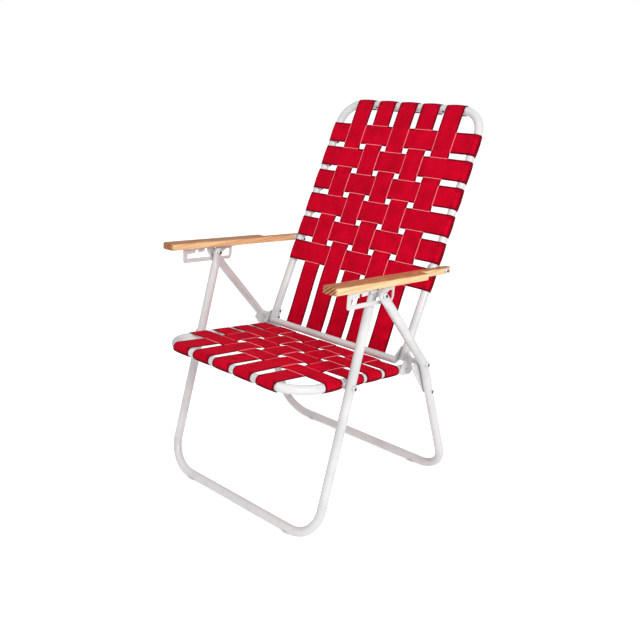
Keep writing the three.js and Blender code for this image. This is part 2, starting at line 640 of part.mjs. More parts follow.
function addBackBar() {
  const tabOuter = backHalfWidth - TUBE_RADIUS - FIT_GAP;
  const tabInner = tabOuter - BACK_TAB_THICKNESS;
  const pieces = [crossBar(BACK_BAR_RADIUS, -tabOuter, tabOuter, -BACK_BAR_FORWARD, -BACK_BAR_DROP, TUBE_SIDES)];
  for (const side of Object.values(SIDES)) {
    const outline = beltOutline([
      [point2(-BACK_BAR_FORWARD, -BACK_BAR_DROP), BACK_BAR_RADIUS],
      [point2(0, -BACK_TUBE_TAIL + BACK_TAB_NOSE), BACK_TAB_NOSE],
      [point2(0, BACK_TAB_HEIGHT - BACK_TAB_NOSE), BACK_TAB_NOSE]]);
    pieces.push(sheetPiece(outline, tabInner, tabOuter, side));
  }
  const across = tabOuter + CUT_OVERRUN;
  const holes = [[0, boltHole], [BACK_TAB_RIVET_UP, rivetHole]].flatMap(([up, radius]) => [
    crossBar(radius, tabInner - CUT_OVERRUN, across, 0, up),
    crossBar(radius, -across, -tabInner + CUT_OVERRUN, 0, up)]);
  place(backGroup, 'back_lower_bar', cut(join(pieces), holes), 'paint');
  placePair(backGroup, 'back_bar_rivet', [
    ...domedHead(tabInner - FIT_GAP, -1, RIVET_HEAD_RADIUS, RIVET_HEAD_HEIGHT),
    [RIVET_RADIUS, tabInner - FIT_GAP], [RIVET_RADIUS, tabOuter + BLIND_RIVET_DEPTH]], 'steel',
  0, BACK_TAB_RIVET_UP);
}

function addBackWebs() {
  const behindBar = BACK_BAR_FORWARD - BACK_BAR_RADIUS - FIT_GAP - WEB_THICKNESS / 2;
  webColumns.forEach((x, column) => {
    const lift = (i) => (backColumnOver(column, BACK_ROWS - 1 - i) ? weaveRise : -weaveRise);
    const at = (z, forward) => point3(x, -forward, z);
    const stations = [
      at(-BACK_BAR_DROP - BACK_BAR_RADIUS, behindBar),
      at(-BACK_BAR_DROP + BACK_BAR_RADIUS, behindBar),
      ...weaveStations([...backRows].reverse(), lift, at, wrapRadius),
      ...wrapEnd(at, BACK_LENGTH, 0, wrapRadius, 1)];
    place(backGroup, `back_web_long_${column + 1}`, strip(stations, ALONG_X), 'webbing');
  });
  backRows.forEach((z, row) => {
    const lift = (column) => (backColumnOver(column, row) ? -weaveRise : weaveRise);
    const at = (x, forward) => point3(x, -forward, z);
    const stations = [
      ...wrapEnd(at, -backHalfWidth, 0, wrapRadius, -1).reverse(),
      ...weaveStations(webColumns, lift, at, wrapRadius),
      ...wrapEnd(at, backHalfWidth, 0, wrapRadius, 1)];
    place(backGroup, `back_web_cross_${row + 1}`, strip(stations, point3(0, 0, 1)), 'webbing');
  });
}

const armInnerX = armCentre - ARM_WIDTH / 2;
const armOuterX = armCentre + ARM_WIDTH / 2;
const armEndOuterX = armOuterX - ARM_RECESS_DEPTH;
const pinOnArm = legTop.clone().sub(armPivot).rotateAround(point2(0, 0), radians(ARM_TILT));
const flangeTop = -ARM_THICKNESS / 2 - FIT_GAP;
const bracketFront = pinOnArm.x - BRACKET_AHEAD;
const bracketRear = pinOnArm.x + BRACKET_BEHIND;
const screwPlaces = [bracketFront + SCREW_END_INSET, bracketRear - SCREW_END_INSET];
const screwX = bracketInnerX - FLANGE_WIDTH / 2;

// A countersunk screw, or the hole for it when it is grown by a gap
function screwShape(growth) {
  const bottom = flangeTop - FLANGE_THICKNESS;
  const profile = [
    point2(0, bottom - growth), point2(SCREW_HEAD_RADIUS + growth, bottom - growth),
    point2(SCREW_RADIUS + growth, flangeTop + growth),
    point2(SCREW_RADIUS + growth, flangeTop + SCREW_LENGTH + growth),
    point2(0, flangeTop + SCREW_LENGTH + growth)];
  return new THREE.LatheGeometry(profile, BOLT_SIDES).rotateX(QUARTER_TURN);
}

function addArms() {
  for (const [word, side] of Object.entries(SIDES)) {
    const board = new THREE.Shape();
    const front = -ARM_FRONT_REACH + ARM_EDGE_BEVEL;
    const rear = ARM_REAR_REACH - ARM_EDGE_BEVEL;
    const half = ARM_WIDTH / 2 - ARM_EDGE_BEVEL;
    const round = ARM_CORNER_RADIUS;
    board.moveTo(-half + round, front);
    board.lineTo(half - round, front).quadraticCurveTo(half, front, half, front + round);
    board.lineTo(half, rear - round).quadraticCurveTo(half, rear, half - round, rear);
    board.lineTo(-half + round, rear).quadraticCurveTo(-half, rear, -half, rear - round);
    board.lineTo(-half, front + round).quadraticCurveTo(-half, front, -half + round, front);
    const wood = new THREE.ExtrudeGeometry(board, {
      depth: ARM_THICKNESS - 2 * ARM_EDGE_BEVEL, bevelThickness: ARM_EDGE_BEVEL, bevelSize: ARM_EDGE_BEVEL,
      bevelSegments: 1, curveSegments: 2 });
    wood.translate(side * armCentre, 0, -ARM_THICKNESS / 2 + ARM_EDGE_BEVEL);
    const recess = new THREE.BoxGeometry(ARM_RECESS_DEPTH + CUT_OVERRUN, ARM_RECESS_LENGTH + CUT_OVERRUN,
      ARM_THICKNESS + 2 * CUT_OVERRUN);
    recess.translate(side * (armEndOuterX + (ARM_RECESS_DEPTH + CUT_OVERRUN) / 2),
      ARM_REAR_REACH - ARM_RECESS_LENGTH / 2 + CUT_OVERRUN / 2, 0);
    const bolt = crossBar(boltHole, side * (armInnerX - CUT_OVERRUN), side * (armOuterX + CUT_OVERRUN), 0, 0);
    const screws = screwPlaces.map((y) => screwShape(FIT_GAP).translate(side * screwX, y, 0));
    place(armGroup, `arm_wood_${word}`, cut(wood, [recess, bolt, ...screws]), 'wood');
    addBracket(word, side);
    screwPlaces.forEach((y, i) => {
      const screw = screwShape(0).translate(side * screwX, y, 0);
      place(armGroup, `bracket_screw_${i ? 'rear' : 'front'}_${word}`, screw, 'steel');
    });
  }
  const tubeInner = backHalfWidth - TUBE_RADIUS - FIT_GAP;
  placePair(armGroup, 'arm_bolt', [
    ...domedHead(tubeInner, -1), [BOLT_RADIUS, tubeInner], [BOLT_RADIUS, webOuterX],
    [SHOULDER_RADIUS, webOuterX], [SHOULDER_RADIUS, armInnerX - FIT_GAP],
    [BOLT_RADIUS, armInnerX - FIT_GAP], [BOLT_RADIUS, armEndOuterX + FIT_GAP],
    ...domedHead(armEndOuterX + FIT_GAP, 1)], 'steel', 0, 0);
}

// The slot that the locking pin runs in: a band that falls to the front, with notches above it, and behind the
// rest place a dip round a lobe of the plate, which the pin runs round when the chair folds
function slotOutline() {
  const half = BOLT_RADIUS + SLOT_CLEARANCE;
  const top = pinOnArm.y + half;
  const bottom = pinOnArm.y - half - SLOT_SAG;
  const windowBottom = pinOnArm.y - half - WINDOW_SAG;
  const front = pinOnArm.x - SLOT_AHEAD;
  const rear = pinOnArm.x + SLOT_BEHIND;
  const windowFront = pinOnArm.x - WINDOW_AHEAD;
  const roofAt = (y) => top - (SLOT_DROP * Math.max(0, pinOnArm.x - y)) / SLOT_AHEAD;
  const lobeFront = pinOnArm.x + LOBE_AHEAD;
  const lobeRear = pinOnArm.x + LOBE_BEHIND;
  const roof = [point2(lobeRear, top), point2(lobeRear - LOBE_REAR_TAPER, top - LOBE_DROP),
    point2(lobeFront + LOBE_TAPER, top - LOBE_DROP), point2(lobeFront, top)];
  for (let i = 0; i < NOTCHES; i += 1) {
    const centre = pinOnArm.x - i * NOTCH_PITCH;
    const notchTop = roofAt(centre) + NOTCH_RISE;
    roof.push(point2(centre + half, roofAt(centre + half)), point2(centre + half, notchTop),
      point2(centre - half, notchTop), point2(centre - half, roofAt(centre - half)));
  }
  return new THREE.Path([
    point2(front, roofAt(front)), point2(front, bottom), point2(windowFront, bottom), point2(windowFront, windowBottom),
    point2(rear, windowBottom), point2(rear, top), ...roof]);
}

function addBracket(word, side) {
  const bottom = -ARM_THICKNESS / 2 - BRACKET_HEIGHT;
  const round = BRACKET_CORNER_RADIUS;
  const outline = new THREE.Shape();
  outline.moveTo(bracketFront, flangeTop);
  outline.lineTo(bracketFront, bottom + round).quadraticCurveTo(bracketFront, bottom, bracketFront + round, bottom);
  outline.lineTo(bracketRear - BRACKET_CUT_CORNER / 2, bottom).lineTo(bracketRear, bottom + BRACKET_CUT_CORNER);
  outline.lineTo(bracketRear, flangeTop);
  outline.holes.push(slotOutline());
  const plate = sheetPiece(outline, bracketInnerX, bracketInnerX + BRACKET_THICKNESS, side);
  const width = FLANGE_WIDTH + BRACKET_THICKNESS;
  const flange = new THREE.BoxGeometry(width, bracketRear - bracketFront, FLANGE_THICKNESS);
  flange.translate(side * (bracketInnerX + BRACKET_THICKNESS - width / 2), (bracketFront + bracketRear) / 2,
    flangeTop - FLANGE_THICKNESS / 2);
  const screws = screwPlaces.map((y) => screwShape(FIT_GAP).translate(side * screwX, y, 0));
  place(armGroup, `arm_bracket_${word}`, cut(join([plate, flange]), screws), 'paint');
}

addSeatFrame();
addSeatWebs();
addHingePlates();
addHingeHardware();
addSeatPivots();
addFrontLegs();
addRearLegs();
addLockingPins();
addGlides();
addBackFrame();
addBackBar();
addBackWebs();
addArms();

// The origin goes under the middle of the whole chair
chair.updateMatrixWorld(true);
const middle = new THREE.Box3().setFromObject(chair, true).getCenter(point3(0, 0, 0));
chair.position.y = -middle.y;

const model = new THREE.Group();
model.add(chair);

export default model;
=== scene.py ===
"""Folding webbed lawn chair: painted tube, woven red webbing, varnished wooden arms.

Everything is in metres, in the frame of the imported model. The chair faces -Y.
"""
import json
from math import acos, atan2, copysign, cos, pi, radians, sin, tan

import bmesh
import bpy
from mathutils import Matrix, Vector


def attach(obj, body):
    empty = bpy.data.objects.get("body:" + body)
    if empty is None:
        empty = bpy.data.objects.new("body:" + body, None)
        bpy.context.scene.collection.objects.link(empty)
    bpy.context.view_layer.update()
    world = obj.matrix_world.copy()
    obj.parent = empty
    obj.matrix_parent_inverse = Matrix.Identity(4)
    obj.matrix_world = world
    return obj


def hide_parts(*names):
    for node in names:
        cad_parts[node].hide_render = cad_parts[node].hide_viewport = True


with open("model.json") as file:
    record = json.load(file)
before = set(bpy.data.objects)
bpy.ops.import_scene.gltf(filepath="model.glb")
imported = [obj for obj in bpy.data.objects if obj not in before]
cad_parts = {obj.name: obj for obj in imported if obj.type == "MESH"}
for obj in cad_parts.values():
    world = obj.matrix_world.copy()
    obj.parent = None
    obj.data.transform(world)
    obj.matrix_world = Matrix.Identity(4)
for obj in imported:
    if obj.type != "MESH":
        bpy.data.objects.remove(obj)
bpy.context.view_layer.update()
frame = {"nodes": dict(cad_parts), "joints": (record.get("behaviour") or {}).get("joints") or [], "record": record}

# The camera of the photograph: 640 pixels square
PHOTO_SIDE = 640
FOCAL_PIXELS = 761.9
SENSOR_WIDTH = 36.0
CAMERA_AZIMUTH = radians(42.2)
CAMERA_ELEVATION = radians(19.0)
CAMERA_ROLL = radians(0.8)
CAMERA_DISTANCE = 1.9868
CAMERA_TARGET = Vector((0.0128, -0.0278, 0.4249))

# The studio: lamps as name, place, size and power
FLOOR_HALF = 14.0
FLOOR_GLOW = 0.2
FLOOR_SEEN = 0.5
SKY_LOW = 0.2
SKY_HIGH = 0.85
SKY_SEEN = 1.0
SKY_FULL_AT = 0.8
LAMPS = (("key", (2.7, -1.1, 1.9), 1.1, 56.0), ("fill", (0.1, -2.8, 2.3), 1.6, 18.0))

# Tubes
TUBE_RADIUS = 0.0111
FIT_GAP = 0.0003
SEAT_HALF_WIDTH = 0.2336
BACK_HALF_WIDTH = 0.2328
FRONT_LEG_HALF_WIDTH = 0.2651
REAR_LEG_HALF_WIDTH = 0.2939
SEAT_CORNER_RADIUS = 0.078
BACK_CORNER_RADIUS = 0.065
LEG_CORNER_RADIUS = 0.078
REAR_LEG_BEND_RADIUS = 0.060
LEG_TOP_RADIUS = 0.0122
LEG_TOP_THICKNESS = 0.0134
LEG_PRESS_LENGTH = 0.046
LEG_TOP_CLOSE = radians(88.0)

# Side view, as (y, z); the hinge and the pivots come from the joints of the model
JOINTS = {joint["name"]: joint for joint in frame["joints"]}
HINGE = Vector(JOINTS["back_fold"]["pos_m"][1:])
SEAT_PIVOT = Vector(JOINTS["front_leg_pivot"]["pos_m"][1:])
ARM_PIVOT = Vector(JOINTS["arm_fold_left"]["pos_m"][1:])
LEG_TOP = HINGE + Vector((-0.1764, 0.215))
FLOOR_BAR_HEIGHT = 0.0127
FRONT_FOOT = Vector((HINGE.x - 0.3607, FLOOR_BAR_HEIGHT))
REAR_FOOT = Vector((HINGE.x + 0.1243, FLOOR_BAR_HEIGHT))
SEAT_FRONT = Vector((HINGE.x - 0.3907, 0.387))
SEAT_SLOPE = radians(8.2)
SEAT_RAIL_LENGTH = 0.412
BACK_LEAN = radians(27.2)
BACK_LENGTH = 0.658
BACK_TUBE_TAIL = 0.009
ARM_TILT = radians(5.5)

# Webbing
WEB_WIDTH = 0.05715
WEB_THICKNESS = 0.0012
WEB_TAIL = 0.010
WEB_TAIL_SHARE = 0.85
WEB_COLUMNS = (-0.149, -0.07301, 0.0, 0.07301, 0.149)
SEAT_ROWS = (0.1135, 0.192, 0.2615, 0.331)
BACK_ROW_FIRST = 0.093
BACK_ROW_PITCH = 0.0722
BACK_ROW_COUNT = 6
BACK_ROWS = tuple(BACK_LENGTH - BACK_ROW_FIRST - i * BACK_ROW_PITCH for i in range(BACK_ROW_COUNT))
WRAP_RADIUS = TUBE_RADIUS + FIT_GAP + WEB_THICKNESS / 2
WEAVE_RISE = (WEB_THICKNESS + FIT_GAP) / 2
WEB_PILLOW = 0.0007
WRAP_PILLOW = 0.0016
WEB_STEP = 0.004
WEB_ACROSS = 12
WRAP_STEPS = 18

# The turn round a tube past which a strip is painted darker, as painted shade on the cloth turned away from the
# light: on the seat, the back and its top bar
SEAT_AWAY_FROM = radians(85.0)
BACK_AWAY_FROM = radians(42.0)
TOP_AWAY_FROM = radians(20.0)
AWAY_SPREAD = radians(28.0)

# The weave, and where things begin and are full: from a strip's edge, then from its end
RIB_PITCH = 0.0019
PICK_PITCH = 0.0013
PICK_WAVER = 0.0002
WEAVE_RELIEF = 0.00022
EDGE_SHADE = (0.0055, 0.0028)
EDGE_GULLY = (0.0048, 0.0028)
EDGE_SELVAGE = (0.0022, 0.0012)
CREASES_RISE = (0.008, 0.02)
CREASES_FALL = (0.042, 0.06)

# Cross bars
SEAT_BAR_RADIUS = 0.00635
SEAT_BAR_PLACE = 0.362
SEAT_BAR_INSET = 0.008
SEAT_BAR_RISE = WRAP_RADIUS - WEAVE_RISE - SEAT_BAR_RADIUS - FIT_GAP - WEB_THICKNESS / 2
BACK_BAR_RADIUS = 0.0095
BACK_BAR_DROP = 0.013
BACK_BAR_FORWARD = 0.014
BACK_TAB_THICKNESS = 0.003
BACK_TAB_HEIGHT = 0.027
BACK_TAB_NOSE = 0.008
BACK_TAB_RIVET_UP = 0.018

# Plates, straps and fasteners; a head is a radius and a height
INNER, OUTER = -1, 1
BOLT_HEAD = (0.0075, 0.0044)
RIVET_HEAD = (0.0052, 0.002)
PLATE_THICKNESS = 0.003
PLATE_LOBE_RADIUS = 0.0135
PLATE_RAIL_RADIUS = 0.011
PLATE_FRONT_PLACE = 0.3734
PLATE_REAR_PLACE = 0.402
PLATE_RIVET_PLACE = 0.388
BOLT_RADIUS = 0.004
RIVET_RADIUS = 0.0028
HEAD_FOOT_SHARE = 0.97
HEAD_RIM_SHARE = 0.12
HEAD_STEPS = 8
HEAD_STEP_ANGLE = radians(10.0)
SHOULDER_RADIUS = 0.008
SPACER_RADIUS = 0.007
BLIND_RIVET_DEPTH = 0.006
STRAP_WIDTH = 0.016
STRAP_THICKNESS = 0.0026
STRAP_FRONT_REACH = 0.022
STRAP_FRONT_DROP = 0.007
STRAP_RIVET_DOWN = 0.086
DOT_RADIUS = 0.0034
DOT_HEIGHT = 0.0006
DOT_SIDES = 20
EDGE_ROUND = 0.0006
EDGE_STEPS = 2
SHEET_EDGE_PROFILE = 0.6
ROUND_EDGE_PROFILE = 0.5
TOP_DOME_HEAD = (0.0032, 0.001)
TOP_DOME_TURN = radians(53.0)

# Arms and glides
ARM_CENTRE = 0.2739
ARM_WIDTH = 0.040
ARM_THICKNESS = 0.017
ARM_FRONT_REACH = 0.446
ARM_REAR_REACH = 0.022
ARM_CORNER_RADIUS = 0.007
ARM_EDGE_ROUND = 0.0028
ARM_EDGE_STEPS = 4
ARM_CORNER_STEPS = 6
WOOD_RING_PITCH = 0.0085
END_RING_PITCH = 0.0095
ARM_RECESS_LENGTH = 0.133
ARM_RECESS_DEPTH = 0.022
BRACKET_INNER_X = 0.2783
BRACKET_THICKNESS = 0.0025
BRACKET_HEIGHT = 0.0405
BRACKET_AHEAD = 0.105
BRACKET_BEHIND = 0.060
BRACKET_CORNER_RADIUS = 0.007
BRACKET_CUT_CORNER = 0.012
FLANGE_WIDTH = 0.017
FLANGE_THICKNESS = 0.002
SLOT_AHEAD = 0.092
SLOT_BEHIND = 0.053
SLOT_CLEARANCE = 0.0008
SLOT_SAG = 0.009
SLOT_ROUND = 0.0009
WINDOW_AHEAD = 0.007
WINDOW_SAG = 0.011
SLOT_DROP = 0.007
LOBE_AHEAD = 0.007
LOBE_BEHIND = 0.041
LOBE_DROP = 0.0082
LOBE_TAPER = 0.004
LOBE_REAR_TAPER = 0.012
NOTCH_PITCH = 0.0305
NOTCH_RISE = 0.0075
NOTCHES = 3
GLIDE_LENGTH = 0.015
GLIDE_WALL = 0.0019
GLIDE_EDGE_ROUND = EDGE_ROUND / 3
GLIDE_OPEN_ANGLE = radians(74.0)
FRONT_GLIDE_X = 0.178
REAR_GLIDE_X = 0.190

ROUND_SIDES = 40
TURNED_SIDES = 36
BEND_STEPS = 20
ARC_STEPS = 14
SHARP_ANGLE = radians(24.0)
SIDES = {"left": -1, "right": 1}

BACK_INNER_X = BACK_HALF_WIDTH - TUBE_RADIUS - FIT_GAP
REAR_LEG_OUTER_X = REAR_LEG_HALF_WIDTH + TUBE_RADIUS + FIT_GAP
PLATE_INNER_X = SEAT_HALF_WIDTH + TUBE_RADIUS + FIT_GAP
PLATE_OUTER_X = PLATE_INNER_X + PLATE_THICKNESS
WEB_OUTER_X = SEAT_HALF_WIDTH + WRAP_RADIUS + WEB_THICKNESS / 2 + FIT_GAP
STRAP_OUTER_X = REAR_LEG_HALF_WIDTH - TUBE_RADIUS - FIT_GAP
STRAP_INNER_X = STRAP_OUTER_X - STRAP_THICKNESS


def local_frame(origin, angle):
    """The frame that stands at a side-view point and is turned about X."""
    return Matrix.Translation((0, *origin)) @ Matrix.Rotation(angle, 4, "X")


SEAT_FRAME = local_frame(SEAT_FRONT, -SEAT_SLOPE)
BACK_FRAME = local_frame(HINGE, -BACK_LEAN)
ARM_FRAME = local_frame(ARM_PIVOT, -ARM_TILT)
CHAIR_FRAME = Matrix.Identity(4)
X_AXIS, Y_AXIS, Z_AXIS = Matrix.Identity(3)

# How strips lie: their frame, and the axes along them, up from them and across them
SEAT_LONG = (SEAT_FRAME, Y_AXIS, Z_AXIS, X_AXIS)
SEAT_CROSS = (SEAT_FRAME, X_AXIS, Z_AXIS, Y_AXIS)
BACK_LONG = (BACK_FRAME, Z_AXIS, -Y_AXIS, X_AXIS)
BACK_CROSS = (BACK_FRAME, X_AXIS, -Y_AXIS, Z_AXIS)


class Wired:
    """A socket, or a plain number, with arithmetic that adds Math nodes."""

    def __init__(self, tree, value):
        self.tree = tree
        self.value = value

    def math(self, operation, *others):
        values = {i: value for i, value in enumerate([self, *others])}
        return self.tree.add("ShaderNodeMath", {"operation": operation}, values)[0]

    def __add__(self, other):
        return self.math("ADD", other)

    def __sub__(self, other):
        return self.math("SUBTRACT", other)

    def __mul__(self, other):
        return self.math("MULTIPLY", other)

    def __rsub__(self, other):
        return Wired(self.tree, other).math("SUBTRACT", self)

    __radd__ = __add__
    __rmul__ = __mul__

    def ramp(self, low, high):
        """0 below low, 1 above high, smooth between."""
        values = {"Value": self, "From Min": low, "From Max": high}
        settings = {"interpolation_type": "SMOOTHSTEP", "clamp": True}
        return self.tree.add("ShaderNodeMapRange", settings, values)[0]

    def wave(self, pitch):
        """A sine wave of this pitch, from -1 to 1."""
        return (self * (2 * pi / pitch)).math("SINE")


class Tree:
    """A node tree, in which one method makes every node."""

    def __init__(self, nodes):
        self.nodes = nodes

    def add(self, kind, settings=None, values=None):
        made = self.nodes.nodes.new(kind)
        for name, setting in (settings or {}).items():
            setattr(made, name, setting)
        for key, value in (values or {}).items():
            value = value.value if isinstance(value, Wired) else value
            if isinstance(value, bpy.types.NodeSocket):
                self.nodes.links.new(value, made.inputs[key])
            else:
                made.inputs[key].default_value = value
        return [Wired(self, out) for out in made.outputs if out.enabled]


class Finish(Tree):
    """A material whose shader sockets are set once, with only its varying sockets linked."""

    def __init__(self, name, base, roughness, **constants):
        self.material = bpy.data.materials.new(name)
        self.material.use_nodes = True
        super().__init__(self.material.node_tree)
        self.shader = self.nodes.nodes["Principled BSDF"]
        self.shader.inputs["Base Color"].default_value = (*base, 1.0)
        self.shader.inputs["Roughness"].default_value = roughness
        for key, value in constants.items():
            self.shader.inputs[key.replace("_", " ")].default_value = value

    def drive(self, key, value):
        self.nodes.links.new(value.value, self.shader.inputs[key])

    def mixed(self, factor, first, second):
        """A colour between two, each a colour or a link."""
        first = (*first, 1.0) if isinstance(first, tuple) else first
        second = (*second, 1.0) if isinstance(second, tuple) else second
        return self.add("ShaderNodeMix", {"data_type": "RGBA"}, {0: factor, 6: first, 7: second})[0]

    def colour(self, factor, first, second):
        """A base colour that varies between two."""
        self.drive("Base Color", self.mixed(factor, first, second))

    def noise(self, vector, scale, detail=3.0):
        """Noise of one scale, or of three scales along the axes."""
        if isinstance(scale, tuple):
            vector = self.add("ShaderNodeVectorMath", {"operation": "MULTIPLY"}, {0: vector, 1: scale})[0]
            scale = 1.0
        return self.add("ShaderNodeTexNoise", {}, {"Vector": vector, "Scale": scale, "Detail": detail})[0]

    def bump(self, height, distance, strength):
        values = {"Height": height, "Distance": distance, "Strength": strength}
        self.drive("Normal", self.add("ShaderNodeBump", {}, values)[0])

    def place(self):
        return self.add("ShaderNodeTexCoord")[3]

    def attribute(self, name):
        return self.add("ShaderNodeAttribute", {"attribute_name": name})[2]


def white_paint():
    """Glossy white powder coat with a faint orange peel and a little grime."""
    finish = Finish("white_powder_coat", (0.62, 0.62, 0.62), 0.32, Coat_Weight=0.2, Coat_Roughness=0.15)
    peel = finish.noise(finish.place(), scale=900.0)
    grime = finish.noise(finish.place(), scale=14.0)
    finish.colour(grime.ramp(0.35, 0.75), (0.65, 0.65, 0.65), (0.56, 0.56, 0.565))
    finish.drive("Roughness", 0.24 + grime * 0.14)
    finish.bump(peel, distance=0.00006, strength=0.5)
    return finish.material


def red_webbing():
    """Flat woven webbing: ribs along it, picks across it, dark edges of painted shade, painted shade in its
    creases and where it turns away round a tube, and a pink rim where strips cross, which is a painted highlight.
    """
    finish = Finish("red_webbing", (0.55, 0.0, 0.012), 0.8, Specular_IOR_Level=0.05)
    dull, bright, pink = (0.33, 0.0, 0.008), (0.74, 0.0, 0.024), (1.0, 0.22, 0.26)
    painted_edge_shade, painted_crease_shade = (0.07, 0.0, 0.006), (0.12, 0.0, 0.006)
    strip = finish.add("ShaderNodeUVMap", {"uv_map": "strip"})[0]
    across, along, _ = finish.add("ShaderNodeSeparateXYZ", {}, {"Vector": strip})
    edge = across.math("ABSOLUTE")

    def towards_edge(begin, full):
        return edge.ramp(WEB_WIDTH / 2 - begin, WEB_WIDTH / 2 - full)

    # The edge band: raised in the bump, and painted pink as a highlight where the strip lies over a crossing one.
    selvage_and_highlight = towards_edge(*EDGE_SELVAGE)
    gully = towards_edge(*EDGE_GULLY) - selvage_and_highlight
    on_wrap = along.ramp(*CREASES_RISE) * (1.0 - along.ramp(*CREASES_FALL))
    # Creases on the wraps: relief in the bump, and painted shade in the colour.
    creases = finish.noise(strip, scale=(110.0, 34.0, 1.0), detail=2.0).ramp(0.5, 0.68) * on_wrap
    ribs = across.wave(RIB_PITCH)
    picks = (along + ribs * PICK_WAVER).wave(PICK_PITCH)
    streaks = finish.noise(strip, scale=(420.0, 9.0, 1.0))
    patches = finish.noise(finish.place(), scale=30.0, detail=5.0)
    yarn = (ribs * 0.12 + picks * 0.1 + streaks * 0.4 + patches * 0.6).ramp(0.1, 0.9)
    crossing = finish.attribute("on_crossing")
    # Painted shade along both edges, weaker where the edge lies over a crossing strip.
    edge_share = towards_edge(*EDGE_SHADE) * (0.8 - crossing * 0.4)
    edged = finish.mixed(edge_share, finish.mixed(yarn, dull, bright), painted_edge_shade)
    # Painted shade in the creases and on the cloth that turns away round a tube.
    painted_turn_and_crease_shade = finish.mixed(creases * 0.55 + finish.attribute("turned_away_shade") * 0.8, edged, painted_crease_shade)
    # The painted pink highlight on the edge band where strips cross.
    finish.colour(selvage_and_highlight * crossing, painted_turn_and_crease_shade, pink)
    finish.drive("Roughness", 0.7 + streaks * 0.2)
    height = ribs * 0.5 + picks * 0.5 + selvage_and_highlight * 1.2 - gully + patches * 2.0 - creases * 5.0
    finish.bump(height, WEAVE_RELIEF, strength=0.7)
    return finish.material


def varnished_wood():
    """Light wood with long grain, its top face darker and browner as painted shade, and dark slanting rings on its
    ends.
    """
    finish = Finish("varnished_wood", (0.8, 0.55, 0.28), 0.4, Coat_Weight=0.2, Coat_Roughness=0.2)
    place = finish.place()
    fibre = finish.noise(place, scale=(160.0, 5.0, 190.0), detail=6.0)
    figure = finish.noise(place, scale=(60.0, 1.6, 90.0))
    rings = (figure * 0.05 + fibre * 0.004).wave(WOOD_RING_PITCH) * 0.5 + 0.5
    grain = (rings * 0.4 + fibre * 0.7).ramp(0.25, 0.95)
    side = finish.mixed(grain, (0.88, 0.62, 0.34), (0.66, 0.36, 0.15))
    # A darker, browner copy of the grain for the top face: painted shade.
    top = finish.mixed(grain, (0.52, 0.235, 0.09), (0.31, 0.115, 0.04))
    x, _, z = finish.add("ShaderNodeSeparateXYZ", {}, {"Vector": place})
    slant = (z * 1.3 - x.math("ABSOLUTE") + figure * 0.012).wave(END_RING_PITCH) * 0.5 + 0.5
    end = finish.mixed((slant + fibre * 0.3).ramp(0.35, 0.95), (0.56, 0.20, 0.055), (0.085, 0.022, 0.006))
    finish.colour(finish.attribute("end_face"), finish.mixed(finish.attribute("painted_shade_top"), side, top), end)
    finish.drive("Roughness", 0.36 + fibre * 0.2)
    finish.bump(fibre + rings * 0.5, distance=0.0002, strength=0.45)
    return finish.material


def plated_steel():
    """Dull pale zinc plate on bolts, pins and rivets."""
    finish = Finish("zinc_plate", (0.66, 0.66, 0.67), 0.4, Metallic=0.35)
    spangle = finish.noise(finish.place(), scale=260.0)
    finish.colour(spangle, (0.72, 0.72, 0.73), (0.52, 0.52, 0.53))
    finish.drive("Roughness", 0.28 + spangle * 0.25)
    finish.bump(spangle, distance=0.00005, strength=0.4)
    return finish.material


def make_dark_spot():
    """The dark finish of the dots on the heads, which are painted shade and dark reflection, and of the two domes
    on the top bar.
    """
    finish = Finish("dark_spot_finish", (0.03, 0.028, 0.03), 0.5, Metallic=0.5)
    grit = finish.noise(finish.place(), scale=700.0)
    finish.colour(grit, (0.015, 0.014, 0.015), (0.07, 0.065, 0.065))
    finish.bump(grit, distance=0.00005, strength=0.5)
    return finish.material


def clear_plastic():
    """Cloudy clear plastic of the glides."""
    finish = Finish("cloudy_plastic", (0.86, 0.86, 0.83), 0.35, Transmission_Weight=0.45, IOR=1.47)
    cloud = finish.noise(finish.place(), scale=160.0)
    finish.colour(cloud, (0.88, 0.88, 0.85), (0.72, 0.72, 0.68))
    finish.bump(cloud, distance=0.0001, strength=0.3)
    return finish.material


MATERIALS = {
    "white_paint": white_paint(),
    "webbing": red_webbing(),
    "wood": varnished_wood(),
    "steel": plated_steel(),
    "glide": clear_plastic(),
}
DARK_SPOT_MATERIAL = make_dark_spot()


def add_object(name, data):
    made = bpy.data.objects.new(name, data)
    bpy.context.scene.collection.objects.link(made)
    return made


def smooth_by_angle(mesh):
    mesh.shade_smooth()
    mesh.set_sharp_from_angle(angle=SHARP_ANGLE)


def carry(mesh, body):
    """Puts a mesh in the scene under its own name, to move with a body."""
    piece = add_object(mesh.name, mesh)
    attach(piece, body)
    return piece


def finish_piece(mesh, body, node, slot="white_paint"):
    """Puts a finished mesh in the scene for the CAD node that it replaces."""
    if not mesh.materials:
        mesh.materials.append(MATERIALS[slot])
    smooth_by_angle(mesh)
    piece = carry(mesh, body)
    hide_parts(node)
    return piece


def mesh_from(name, build):
    """A mesh made by a function that fills a bmesh, with its normals facing out."""
    shape = bmesh.new()
    build(shape)
    bmesh.ops.recalc_face_normals(shape, faces=shape.faces)
    mesh = bpy.data.meshes.new(name)
    shape.to_mesh(mesh)
    shape.free()
    return mesh


